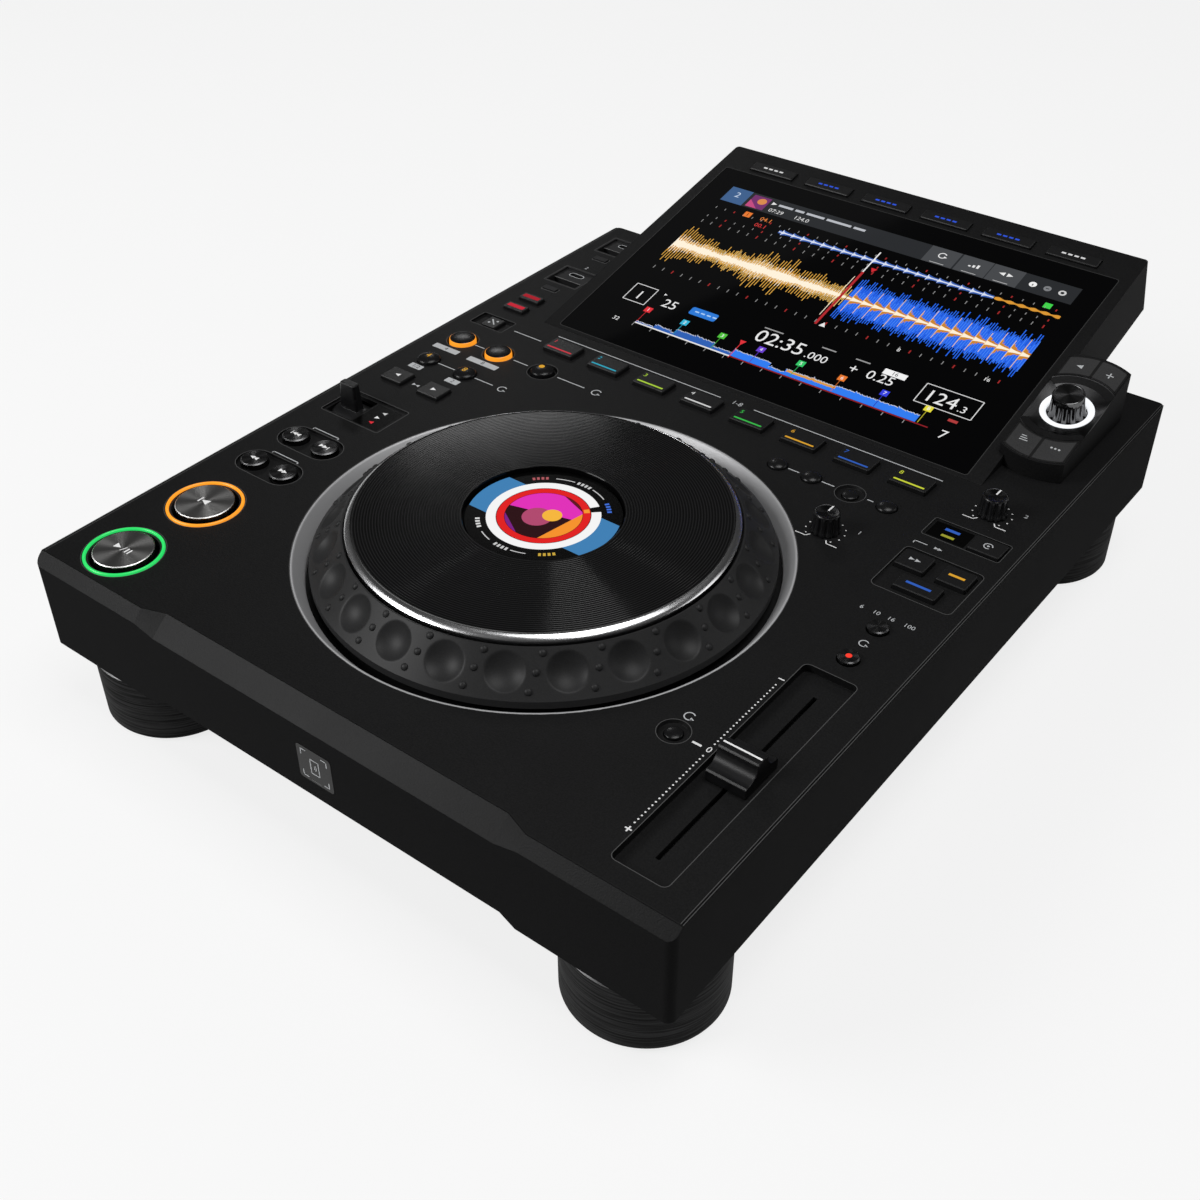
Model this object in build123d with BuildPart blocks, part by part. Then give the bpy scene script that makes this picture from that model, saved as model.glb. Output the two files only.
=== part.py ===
from build123d import *
import os
from math import cos, radians, sin, sqrt, tan

# A table-top DJ media deck: a low console on four round feet, with a jog wheel, a tilted display
# that overhangs at the back, transport and cue keys, knobs, a direction lever and a tempo fader.
# The frame is +X right, +Y to the back and +Z up, with the origin on the table under the middle
# of the whole deck.  Every place on the deck is written as (x, back): back is the distance
# behind the front face, and heights are counted from the deck's top surface.

# ---------------------------------------------------------------- case
WIDTH = 329.0
BODY_DEPTH = 404.0
SIDE_HEIGHT = 46.1
DECK_TOP = 81.3
CORNER = 3.5
PLATE = 3.0
PLATE_LIP = 0.9
SEAM = 0.15
SIDE_WALL = 4.0
FRONT_WALL = 12.5
FLOOR = 2.5
OUTER_FACET = (5.0, 4.5)
MIDDLE_FACET = (8.9, 7.2)
FACET_OUTER_X = 100.0
FACET_INNER_X = 89.0
CHANNEL_HEIGHT = 4.1
CHANNEL_TOP_X = 90.0
CHANNEL_BOTTOM_X = 97.0
BOARD_SIZE = (180.0, 150.0, 1.6)
BOARD_BACK = 230.0
PILLAR_RADIUS = 4.0
PILLAR_HEIGHT = 4.0
PILLAR_GRID = (150.0, 120.0)
VENT_SIZE = (24.0, 3.0)
VENT_PITCH = (34.0, 7.0)
VENT_BACK = 330.0

FOOT_RADIUS = 32.1
FOOT_HEIGHT = 33.6
FOOT_STEM_RADIUS = 25.0
FOOT_X = 130.4
FOOT_BACKS = (33.1, 371.6)
FOOT_CHAMFER = 1.2

PAD_SIZE = (18.4, 17.4)
PAD_HEIGHT = -25.2
PAD_CORNER = 1.5
PAD_THICKNESS = 1.0
PAD_PROUD = 0.1

# ---------------------------------------------------------------- display
TILT = 12.9
DISPLAY_X = 0.8
DISPLAY_BACK = 287.5
SLAB_LENGTH = 179.8
SLAB_THICKNESS = 28.6
SLAB_HALF_WIDTH = 125.2
SLAB_DRAFT = 3.3
SLAB_CORNER = 2.2
GLASS_WIDTH = 233.2
GLASS_LENGTH = 156.2
GLASS_START = 2.9
GLASS_THICKNESS = 3.0
GLASS_CORNER = 1.5
TOP_KEY_COUNT = 6
TOP_KEY_SIZE = (27.3, 7.0)
TOP_KEY_PITCH = 35.75
TOP_KEY_UP = 166.1
TOP_KEY_RISE = 1.2
TOP_KEY_SEAT = 4.0

# ---------------------------------------------------------------- browser block
BLOCK_X = 138.0
BLOCK_HALF_WIDTH = 15.2
BLOCK_FRONT_UP = 24.2
BLOCK_REAR_UP = 92.1
BLOCK_BULGE = 3.8
BLOCK_RISE = 4.7
BLOCK_KEY_DEPTH = 2.4
BLOCK_RIM = 0.6
DISH_UP = 58.6
DISH_RADIUS = 22.0
DISH_DEPTH = 1.7
RING_SEAT = 2.0
BROWSER_RING = (9.2, 12.6)
BROWSER_KNOB = (8.6, 7.3, 13.0)

# ---------------------------------------------------------------- jog wheel
JOG_BACK = 136.7
WELL_RADIUS = 106.0
WELL_RIM = 105.3
WELL_FOOT_RADIUS = 100.5
WELL_DEPTH = 6.5
TUB_DEPTH = 9.6
TUB_WALL = 2.4
JOG_PLATE_TOP = 16.4
JOG_PLATE_FLAT = 79.8
JOG_PLATE_RADIUS = 82.2
JOG_PLATE_EDGE = 14.6
JOG_PLATE_SKIRT = 12.0
JOG_PLATE_HOLE = 33.9
JOG_PLATE_THICKNESS = 2.5
JOG_PLATE_RIBS = ((40.0, 44.0), (70.0, 74.0))
GRIP_TOP_RADIUS = 83.9
GRIP_INNER_RADIUS = 83.0
GRIP_TOP = 13.3
GRIP_FOOT_RADIUS = 98.4
GRIP_FOOT = -1.0
GRIP_SKIRT = -4.5
GRIP_WALL = 5.5
WEB_TOP = 9.0
WEB_BOTTOM = 6.0
WEB_REACH = 80.5
HUB_RADIUS = 30.0
HUB_BOTTOM = -6.0
BEARING_RADIUS = 24.0
BEARING_CLEARANCE = 0.08
BEARING_FLANGE = (36.0, 2.0)
DIMPLE_COUNT = 24
DIMPLE_RADIUS = 90.6
DIMPLE_RIM = 7.9
DIMPLE_SPHERE = 13.0
NUB_ROWS = (85.3, 90.5, 95.7)
NUB_LEAN = 1.7
NUB_RIM = 1.25
NUB_SPHERE = 1.7
JOG_DISPLAY_RADIUS = 33.2
JOG_DISPLAY_TOP = 14.4
JOG_DISPLAY_THICKNESS = 4.4
JOG_DISPLAY_CHAMFER = 0.3

# ---------------------------------------------------------------- keys
COLUMN_A = -145.1
COLUMN_B = -121.1
COLUMN_R = 139.6
KEY_GAP = 0.3
KEY_CORNER = 0.6
KEY_BEVEL = 0.4
KEY_LIP = 0.9
FLANGE = 1.2
FLANGE_TOP = -PLATE - KEY_GAP

# Flat keys: name, x, back, width, length, rise above the deck.
FLAT_KEYS = [
    ("slip_key", COLUMN_A, 302.8, 13.2, 6.2, 1.8),
    ("quantize_key", COLUMN_A, 290.0, 13.2, 6.2, 1.8),
    ("loop_delete_key", COLUMN_A, 271.5, 9.2, 9.2, 0.3),
    ("beat_jump_back_key", COLUMN_A, 199.8, 13.2, 10.8, 1.8),
    ("beat_jump_forward_key", COLUMN_B, 199.8, 13.2, 10.8, 1.8),
    ("jog_mode_key", 149.6, 246.6, 14.4, 10.8, 1.1),
    ("beat_sync_key", 130.0, 219.3, 13.3, 11.7, 1.3),
    ("master_key", 149.1, 219.3, 13.3, 11.7, 1.3),
    ("key_sync_key", COLUMN_R, 204.4, 18.9, 9.4, 1.3),
]
HOT_CUE_COUNT = 8
HOT_CUE_PITCH = 28.3
HOT_CUE_X = 2.0
HOT_CUE_BACK = 270.4
HOT_CUE_SIZE = (18.2, 11.4)
HOT_CUE_RISE = 2.2
for number in range(HOT_CUE_COUNT):
    place = HOT_CUE_X + (number - (HOT_CUE_COUNT - 1) / 2) * HOT_CUE_PITCH
    FLAT_KEYS.append((f"hot_cue_{number + 1}_key", place, HOT_CUE_BACK, *HOT_CUE_SIZE, HOT_CUE_RISE))

# Round keys: name, x, back, radius, rise above the deck, height of the dome.
SEARCH_BACKS = (131.6, 106.0)
ROUND_KEYS = [
    ("beat_loop_4_key", COLUMN_A, 222.2, 5.8, 2.6, 1.9),
    ("beat_loop_8_key", COLUMN_B, 222.2, 5.8, 2.6, 1.9),
    ("reloop_key", -92.2, 247.4, 5.9, 2.6, 1.9),
    ("call_back_key", 45.5, 247.2, 4.6, 2.2, 1.5),
    ("call_forward_key", 63.2, 247.2, 4.6, 2.2, 1.5),
    ("delete_key", 83.2, 247.0, 3.6, 0.1, 0.7),
    ("memory_key", 101.3, 247.2, 4.6, 2.2, 1.5),
    ("tempo_range_key", COLUMN_R, 171.8, 4.4, 1.8, 0.5),
    ("master_tempo_key", COLUMN_R, 149.3, 4.4, 1.8, 0.5),
    ("tempo_reset_key", 110.0, 76.2, 3.5, 0.1, 0.7),
    ("track_search_back_key", COLUMN_A, SEARCH_BACKS[0], 6.2, 1.6, 0.4),
    ("track_search_forward_key", -126.1, SEARCH_BACKS[0], 6.2, 1.6, 0.4),
    ("search_back_key", COLUMN_A, SEARCH_BACKS[1], 6.2, 1.6, 0.4),
    ("search_forward_key", -126.1, SEARCH_BACKS[1], 6.2, 1.6, 0.4),
]
# Keys that come up through a lit ring, in the same terms, and the ring's inner and outer radius,
# its rise and the depth of its funnel.
PLAY_PLACE = (-136.0, 25.1)
PLAY_ROOM = (20.0, 5.0)
RING_KEYS = [
    ("cue_key", -136.0, 69.1, 12.8, 1.5, 0.3, (14.7, 17.4, 0.6, 0.3)),
    ("play_key", *PLAY_PLACE, 12.8, 1.5, 0.3, (14.7, 17.4, 0.6, 0.3)),
    ("loop_in_key", COLUMN_A, 247.6, 5.3, 2.4, 0.7, (6.0, 8.2, 0.2, 2.1)),
    ("loop_out_key", COLUMN_B, 247.6, 5.3, 2.4, 0.7, (6.0, 8.2, 0.2, 2.1)),
]
RING_BOTTOM = -4.2
RING_LIP = 1.2
RING_FIT = 0.05

# Shallow trays in the deck: x, back, width, length, depth, corner radius.
FADER_X = 139.5
FADER_BACK = 76.0
FADER_TRAY = (FADER_X, FADER_BACK, 23.2, 123.3, 3.5, 2.5)
TRAYS = [
    (139.8, 212.2, 35.9, 31.8, 1.0, 2.5),
    (139.7, 246.8, 35.6, 14.0, 0.7, 1.2),
    (-145.4, 271.5, 21.2, 12.2, 1.4, 1.0),
    (-135.9, 167.5, 36.9, 22.2, 0.8, 1.2),
    FADER_TRAY,
]
SEARCH_TRAY_X = -135.7
SEARCH_TRAY_SIZE = (36.0, 17.2)
TRAY_FLOOR = 1.6
SUNK_RINGS = {"delete_key": 6.8, "tempo_reset_key": 6.4, "reloop_key": 7.6}
SUNK_DEPTH = 1.4
SUNK_TAPER = 25

# ---------------------------------------------------------------- lever, fader, knobs, bays
LEVER_X = -144.7
LEVER_BACK = 167.5
LEVER_SLOT = (16.4, 18.6)
LEVER_PIVOT = -14.0
LEVER_DRUM = 13.0
LEVER_DRUM_WIDTH = 15.3
LEVER_PIN = 2.0
LEVER_HEIGHT = 12.2
LEVER_FOOT = (12.6, 5.6)
LEVER_TIP = (9.4, 4.2)
LEVER_ROUND = 1.2
BRACKET = (2.2, 12.0)
BRACKET_FOOT = -18.0
BRACKET_X = LEVER_SLOT[0] / 2 + 1 + BRACKET[0] / 2
PIN_CLEARANCE = 0.1

FADER_SLOT = (1.8, 100.7)
FADER_CAP = (17.0, 20.4, 8.0)
FADER_CAP_GAP = 0.5
FADER_LIP = 1.7
FADER_BAR = 3.1
FADER_EDGE = 0.7
FADER_SCOOP = (5.0, 3.0)
FADER_STEM = (1.2, 4.0)
FADER_SLIDER = (5.0, 8.0, 2.4)
FADER_SLIDER_BOTTOM = -10.0
TRACK_OUTSIDE = (14.0, 112.0, 8.0)
TRACK_INSIDE = (7.0, 106.0, 6.5)

KNOBS = [("jog_feel_knob", 89.0, 216.6), ("stop_speed_knob", 139.8, 270.6)]
DECK_KNOB = (6.4, 5.6, 9.8)
KNOB_SKIRT = 1.2
KNOB_SHAFT = 3.0
KNOB_SHAFT_LENGTH = 7.0
KNOB_EDGE = 0.5
FLUTE_COUNT = 12
FLUTE_RADIUS = 1.6
FLUTE_DEPTH = 1.0

BAY_X = -145.3
BAY_BACKS = (336.7, 381.3)
BAY_SIZE = (21.4, 20.2)
BAY_DEPTH = 15.0
BAY_WALL = 1.0
BAY_LEDGE = 1.2
BAY_POCKET = (19.4, 6.9, 11.0)
BAY_SLOT = (8.6, 3.2, 6.0)
BAY_SLOT_BACK = 5.0
STOP_KEY_SIZE = (8.6, 3.4)
STOP_KEY_STEP = 17.8
STOP_KEY_RISE = 0.9

# ---------------------------------------------------------------- rear side
SOCKET_HEIGHT = -24.0
INLET_X = -118.0
INLET_BODY = (28.0, 21.0, 19.0)
INLET_RIM = (31.0, 24.0, 1.2)
INLET_MOUTH = (24.4, 16.6)
INLET_CUT = 5.0
INLET_DEPTH = 15.5
INLET_PINS = ((-7.0, -2.0), (0.0, 2.6), (7.0, -2.0))
INLET_PIN_SIZE = (2.0, 4.0, 12.0)
NETWORK_X = 40.0
NETWORK_BODY = (17.0, 15.0, 18.0)
NETWORK_MOUTH = (12.0, 8.0, 12.5)
NETWORK_LATCH = (4.0, 2.4)
PHONO_XS = (76.0, 96.0, 116.0)
PHONO_RADIUS = 4.15
PHONO_REACH = 9.0
PHONO_FLANGE = (5.8, 1.0)
PHONO_BORE = (3.3, 7.5)
PHONO_CORE = 1.7
POWER_X = -76.0
POWER_SIZE = (12.0, 9.0)
POWER_PROUD = 3.0

# ---------------------------------------------------------------- frame
slope_cos = cos(radians(TILT))
slope_sin = sin(radians(TILT))
OVERALL_DEPTH = DISPLAY_BACK + SLAB_LENGTH * slope_cos + SLAB_THICKNESS * slope_sin
FRONT_Y = -OVERALL_DEPTH / 2
DECK = Plane(origin=(0, FRONT_Y, DECK_TOP))
FRONT = Plane(origin=(0, FRONT_Y, DECK_TOP), x_dir=(1, 0, 0), z_dir=(0, -1, 0))
REAR = Plane(origin=(0, FRONT_Y + BODY_DEPTH, DECK_TOP), x_dir=(-1, 0, 0), z_dir=(0, 1, 0))
SLOPE = Plane(
    origin=(0, FRONT_Y + DISPLAY_BACK, DECK_TOP),
    x_dir=(1, 0, 0),
    z_dir=(0, -slope_sin, slope_cos),
)


def deck_axis(x, back):
    """Plane on the deck with its origin at a place, and its Z axis up."""
    return Plane(origin=(x, FRONT_Y + back, DECK_TOP))


def radial_section(base):
    """Section plane through the Z axis of a plane: local X is the radius, local Y the height."""
    return Plane(origin=base.origin, x_dir=base.x_dir, z_dir=-base.y_dir)


def side_section(x):
    """Plane across the deck at x: local X runs to the back and local Y up."""
    return Plane(origin=(x, FRONT_Y, DECK_TOP), x_dir=(0, 1, 0), z_dir=(1, 0, 0))


def save(name, builder):
    """Labels a finished piece and writes it under its own name."""
    builder.part.label = name
    export_step(builder.part, f"parts/{name}.step")
    print(name, "solids", len(builder.part.solids()), "volume", round(builder.part.volume))


os.makedirs("parts", exist_ok=True)

# ---------------------------------------------------------------- lower case
# A tray with thick walls.  Its front carries two facet heights joined by slanted transitions, a
# shallow channel runs under it from front to back, and a rabbet takes the deck plate.
CHANNEL_FLOOR = -SIDE_HEIGHT + CHANNEL_HEIGHT
with BuildPart() as lower_case:
    with BuildSketch(DECK.offset(-SIDE_HEIGHT)):
        with Locations((0, BODY_DEPTH / 2)):
            RectangleRounded(WIDTH, BODY_DEPTH, CORNER)
    extrude(amount=SIDE_HEIGHT)
    with BuildSketch(DECK.offset(-SIDE_HEIGHT + FLOOR)):
        with Locations((0, (FRONT_WALL + BODY_DEPTH - SIDE_WALL) / 2)):
            Rectangle(WIDTH - 2 * SIDE_WALL, BODY_DEPTH - SIDE_WALL - FRONT_WALL)
    extrude(amount=SIDE_HEIGHT, mode=Mode.SUBTRACT)
    with BuildSketch(FRONT.offset(-FRONT_WALL)):
        with BuildLine():
            Polyline(
                (-CHANNEL_BOTTOM_X - FLOOR, -SIDE_HEIGHT + FLOOR),
                (-CHANNEL_TOP_X - FLOOR, CHANNEL_FLOOR + FLOOR),
                (CHANNEL_TOP_X + FLOOR, CHANNEL_FLOOR + FLOOR),
                (CHANNEL_BOTTOM_X + FLOOR, -SIDE_HEIGHT + FLOOR),
                close=True,
            )
        make_face()
    extrude(amount=-(BODY_DEPTH - FRONT_WALL - SIDE_WALL))
    with BuildSketch(FRONT):
        with BuildLine():
            Polyline(
                (-CHANNEL_BOTTOM_X, -SIDE_HEIGHT),
                (-CHANNEL_TOP_X, CHANNEL_FLOOR),
                (CHANNEL_TOP_X, CHANNEL_FLOOR),
                (CHANNEL_BOTTOM_X, -SIDE_HEIGHT),
                close=True,
            )
        make_face()
    extrude(amount=-BODY_DEPTH, mode=Mode.SUBTRACT)
    # The rabbet for the deck plate follows the seam of the facets.
    with BuildSketch(DECK.offset(-PLATE)):
        with BuildLine():
            Polyline(
                (-WIDTH / 2 + PLATE_LIP, OUTER_FACET[0] + SEAM),
                (-FACET_OUTER_X, OUTER_FACET[0] + SEAM),
                (-FACET_INNER_X, MIDDLE_FACET[0] + SEAM),
                (FACET_INNER_X, MIDDLE_FACET[0] + SEAM),
                (FACET_OUTER_X, OUTER_FACET[0] + SEAM),
                (WIDTH / 2 - PLATE_LIP, OUTER_FACET[0] + SEAM),
                (WIDTH / 2 - PLATE_LIP, BODY_DEPTH - PLATE_LIP),
                (-WIDTH / 2 + PLATE_LIP, BODY_DEPTH - PLATE_LIP),
                close=True,
            )
        make_face()
    extrude(amount=PLATE, mode=Mode.SUBTRACT)
    # Front facets: one ruled cut through six stations across the width.
    for station, (setback, drop) in (
        (-WIDTH, OUTER_FACET),
        (-FACET_OUTER_X, OUTER_FACET),
        (-FACET_INNER_X, MIDDLE_FACET),
        (FACET_INNER_X, MIDDLE_FACET),
        (FACET_OUTER_X, OUTER_FACET),
        (WIDTH, OUTER_FACET),
    ):
        with BuildSketch(side_section(station)):
            with BuildLine():
                Polyline(
                    (setback, 0),
                    (0, -drop),
                    (-CORNER, -drop),
                    (-CORNER, CORNER),
                    (setback, CORNER),
                    close=True,
                )
            make_face()
    loft(ruled=True, mode=Mode.SUBTRACT)
    # Room for the play key in the thick front wall.
    with BuildSketch(DECK.offset(-PLATE)):
        with Locations(PLAY_PLACE):
            Circle(PLAY_ROOM[0])
    extrude(amount=-PLAY_ROOM[1], mode=Mode.SUBTRACT)
    # Pillars for the main board.
    with BuildSketch(DECK.offset(CHANNEL_FLOOR + FLOOR)):
        with Locations((0, BOARD_BACK)):
            with GridLocations(*PILLAR_GRID, 2, 2):
                Circle(PILLAR_RADIUS)
    extrude(amount=PILLAR_HEIGHT)
    # Ventilation slots in the floor.
    with BuildSketch(DECK.offset(CHANNEL_FLOOR)):
        with Locations((0, VENT_BACK)):
            with GridLocations(*VENT_PITCH, 4, 5):
                Rectangle(*VENT_SIZE)
    extrude(amount=FLOOR, mode=Mode.SUBTRACT)
    # Openings of the rear wall.
    with BuildSketch(REAR):
        with Locations((-INLET_X, SOCKET_HEIGHT)):
            Rectangle(*INLET_BODY[:2])
        with Locations((-NETWORK_X, SOCKET_HEIGHT)):
            Rectangle(*NETWORK_BODY[:2])
        with Locations((-POWER_X, SOCKET_HEIGHT)):
            Rectangle(POWER_SIZE[0] + 2 * KEY_GAP, POWER_SIZE[1] + 2 * KEY_GAP)
        with Locations(*[(-x, SOCKET_HEIGHT) for x in PHONO_XS]):
            Circle(PHONO_RADIUS + KEY_GAP)
    extrude(amount=-SIDE_WALL, mode=Mode.SUBTRACT)
    # Seat of the reader pad.
    with BuildSketch(FRONT):
        with Locations((0, PAD_HEIGHT)):
            RectangleRounded(PAD_SIZE[0] + SEAM, PAD_SIZE[1] + SEAM, PAD_CORNER)
    extrude(amount=-PAD_THICKNESS, mode=Mode.SUBTRACT)
save("lower_case", lower_case)

with BuildPart() as reader_pad:
    with BuildSketch(FRONT.offset(-PAD_THICKNESS)):
        with Locations((0, PAD_HEIGHT)):
            RectangleRounded(PAD_SIZE[0] - SEAM, PAD_SIZE[1] - SEAM, PAD_CORNER)
    extrude(amount=PAD_THICKNESS + PAD_PROUD)
save("reader_pad", reader_pad)

with BuildPart() as main_board:
    with BuildSketch(DECK.offset(CHANNEL_FLOOR + FLOOR + PILLAR_HEIGHT)):
        with Locations((0, BOARD_BACK)):
            Rectangle(*BOARD_SIZE[:2])
    extrude(amount=BOARD_SIZE[2])
save("main_board", main_board)

# ---------------------------------------------------------------- feet
# Turned feet: a wide drum with a chamfered rim, on a narrower stem that leaves a shadow gap
# under the case.
foot_places = [(side * FOOT_X, back) for side in (-1, 1) for back in FOOT_BACKS]
with BuildPart() as feet:
    with BuildSketch(DECK.offset(-DECK_TOP)):
        with Locations(*foot_places):
            Circle(FOOT_RADIUS)
    extrude(amount=FOOT_HEIGHT)
    chamfer(feet.edges().group_by(Axis.Z)[-1], FOOT_CHAMFER)
    chamfer(feet.edges().group_by(Axis.Z)[0], FOOT_CHAMFER)
    with BuildSketch(DECK.offset(FOOT_HEIGHT - DECK_TOP)):
        with Locations(*foot_places):
            Circle(FOOT_STEM_RADIUS)
    extrude(amount=DECK_TOP - SIDE_HEIGHT - FOOT_HEIGHT)
save("feet", feet)

# ---------------------------------------------------------------- deck plate
with BuildPart() as top_panel:
    plate_side = WIDTH / 2 - PLATE_LIP - SEAM
    plate_rear = BODY_DEPTH - PLATE_LIP - SEAM
    with BuildSketch(DECK.offset(-PLATE)):
        with BuildLine():
            Polyline(
                (-plate_side, OUTER_FACET[0] + 2 * SEAM),
                (-FACET_OUTER_X, OUTER_FACET[0] + 2 * SEAM),
                (-FACET_INNER_X, MIDDLE_FACET[0] + 2 * SEAM),
                (FACET_INNER_X, MIDDLE_FACET[0] + 2 * SEAM),
                (FACET_OUTER_X, OUTER_FACET[0] + 2 * SEAM),
                (plate_side, OUTER_FACET[0] + 2 * SEAM),
                (plate_side, plate_rear),
                (-plate_side, plate_rear),
                close=True,
            )
        make_face()
    extrude(amount=PLATE)
    # Tub under the jog wheel, thicker floor under the fader, cheeks of the direction lever.
    with BuildSketch(DECK.offset(-TUB_DEPTH - TUB_WALL)):
        with Locations((0, JOG_BACK)):
            Circle(WELL_RADIUS + TUB_WALL)
    extrude(amount=TUB_DEPTH + TUB_WALL - PLATE)
    with BuildSketch(DECK.offset(-FADER_TRAY[4] - TRAY_FLOOR)):
        with Locations((FADER_X, FADER_BACK)):
            Rectangle(FADER_TRAY[2] + 2 * TRAY_FLOOR, FADER_TRAY[3] + 2 * TRAY_FLOOR)
    extrude(amount=FADER_TRAY[4] + TRAY_FLOOR - PLATE)
    with BuildSketch(DECK.offset(BRACKET_FOOT)):
        with Locations((LEVER_X - BRACKET_X, LEVER_BACK), (LEVER_X + BRACKET_X, LEVER_BACK)):
            Rectangle(*BRACKET)
    extrude(amount=-PLATE - BRACKET_FOOT)
    with BuildSketch(side_section(LEVER_X)):
        with Locations((LEVER_BACK, LEVER_PIVOT)):
            Circle(LEVER_PIN + PIN_CLEARANCE)
    extrude(amount=BRACKET_X + BRACKET[0], both=True, mode=Mode.SUBTRACT)
    # Jog well.
    with BuildSketch(DECK):
        with Locations((0, JOG_BACK)):
            Circle(WELL_RADIUS)
    extrude(amount=-TUB_DEPTH, mode=Mode.SUBTRACT)
    # Trays.
    for x, back, width, length, depth, corner in TRAYS:
        with BuildSketch(DECK):
            with Locations((x, back)):
                RectangleRounded(width, length, corner)
        extrude(amount=-depth, mode=Mode.SUBTRACT)
    with BuildSketch(DECK):
        with Locations(*[(SEARCH_TRAY_X, back) for back in SEARCH_BACKS]):
            SlotOverall(*SEARCH_TRAY_SIZE)
    extrude(amount=-SUNK_DEPTH, mode=Mode.SUBTRACT)
    for name, x, back, *rest in ROUND_KEYS:
        if name in SUNK_RINGS:
            with BuildSketch(DECK):
                with Locations((x, back)):
                    Circle(SUNK_RINGS[name])
            extrude(amount=-SUNK_DEPTH, taper=SUNK_TAPER, mode=Mode.SUBTRACT)
    # Openings for keys, lit rings, knob shafts, the lever and the memory-stick bays.
    with BuildSketch(DECK.offset(-PLATE)):
        for name, x, back, width, length, rise in FLAT_KEYS:
            with Locations((x, back)):
                RectangleRounded(width + 2 * KEY_GAP, length + 2 * KEY_GAP, KEY_CORNER)
        for name, x, back, radius, rise, dome in ROUND_KEYS:
            with Locations((x, back)):
                Circle(radius + KEY_GAP)
        for name, x, back, radius, rise, dome, ring in RING_KEYS:
            with Locations((x, back)):
                Circle(ring[1] + RING_FIT)
        for name, x, back in KNOBS:
            with Locations((x, back)):
                Circle(KNOB_SHAFT + PIN_CLEARANCE)
        with Locations((LEVER_X, LEVER_BACK)):
            Rectangle(*LEVER_SLOT)
        for back in BAY_BACKS:
            with Locations((BAY_X, back)):
                Rectangle(*BAY_SIZE)
            with Locations((BAY_X, back - STOP_KEY_STEP)):
                Rectangle(STOP_KEY_SIZE[0] + 2 * KEY_GAP, STOP_KEY_SIZE[1] + 2 * KEY_GAP)
    extrude(amount=PLATE, mode=Mode.SUBTRACT)
    with BuildSketch(DECK.offset(-FADER_TRAY[4] - TRAY_FLOOR)):
        with Locations((FADER_X, FADER_BACK)):
            Rectangle(*FADER_SLOT)
    extrude(amount=TRAY_FLOOR, mode=Mode.SUBTRACT)
save("top_panel", top_panel)

# ---------------------------------------------------------------- display housing
# A drafted wedge with a square back that overhangs the case.  The display lies in its face, and
# six keys stand in a row above it.
slab_top = (DISPLAY_BACK + SLAB_LENGTH * slope_cos, SLAB_LENGTH * slope_sin)
slab_heel = (slab_top[0] + SLAB_THICKNESS * slope_sin, slab_top[1] - SLAB_THICKNESS * slope_cos)
slab_foot = (slab_heel[0] - slab_heel[1] / tan(radians(TILT)), 0)
glass_place = (DISPLAY_X, GLASS_START + GLASS_LENGTH / 2)
top_key_places = [
    (DISPLAY_X + (i - (TOP_KEY_COUNT - 1) / 2) * TOP_KEY_PITCH, TOP_KEY_UP)
    for i in range(TOP_KEY_COUNT)
]
with BuildPart() as screen_housing:
    with BuildSketch(side_section(DISPLAY_X)):
        with BuildLine():
            Polyline((DISPLAY_BACK, 0), slab_top, slab_heel, slab_foot, close=True)
        make_face()
    extrude(amount=SLAB_HALF_WIDTH, both=True)
    for sign in (-1, 1):
        split(
            bisect_by=Plane(
                origin=(DISPLAY_X + sign * SLAB_HALF_WIDTH, 0, DECK_TOP),
                z_dir=(sign * cos(radians(SLAB_DRAFT)), 0, sin(radians(SLAB_DRAFT))),
            ),
            keep=Keep.BOTTOM,
        )
    slab_back = screen_housing.faces().sort_by(Axis.Y)[-1]
    fillet(slab_back.edges().filter_by(Axis.X, reverse=True), SLAB_CORNER)
    with BuildSketch(SLOPE):
        with Locations(glass_place):
            RectangleRounded(GLASS_WIDTH, GLASS_LENGTH, GLASS_CORNER)
    extrude(amount=-GLASS_THICKNESS, mode=Mode.SUBTRACT)
    with BuildSketch(SLOPE):
        with Locations(*top_key_places):
            Rectangle(TOP_KEY_SIZE[0] + 2 * KEY_GAP, TOP_KEY_SIZE[1] + 2 * KEY_GAP)
    extrude(amount=-TOP_KEY_SEAT, mode=Mode.SUBTRACT)
save("screen_housing", screen_housing)

# The display's front edge is cut level where the housing thins out onto the deck.
with BuildPart() as touch_display:
    with BuildSketch(SLOPE.offset(-GLASS_THICKNESS)):
        with Locations(glass_place):
            RectangleRounded(GLASS_WIDTH - 2 * SEAM, GLASS_LENGTH - 2 * SEAM, GLASS_CORNER)
    extrude(amount=GLASS_THICKNESS - SEAM)
    split(bisect_by=DECK, keep=Keep.TOP)
save("touch_display", touch_display)

with BuildPart() as screen_keys:
    with BuildSketch(SLOPE.offset(-TOP_KEY_SEAT)):
        with Locations(*top_key_places):
            RectangleRounded(*TOP_KEY_SIZE, KEY_CORNER)
    extrude(amount=TOP_KEY_SEAT + TOP_KEY_RISE)
    key_tops = screen_keys.faces().filter_by(SLOPE).group_by(Axis(SLOPE.origin, SLOPE.z_dir))[-1]
    chamfer(key_tops.edges(), KEY_BEVEL)
save("screen_keys", screen_keys)

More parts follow.
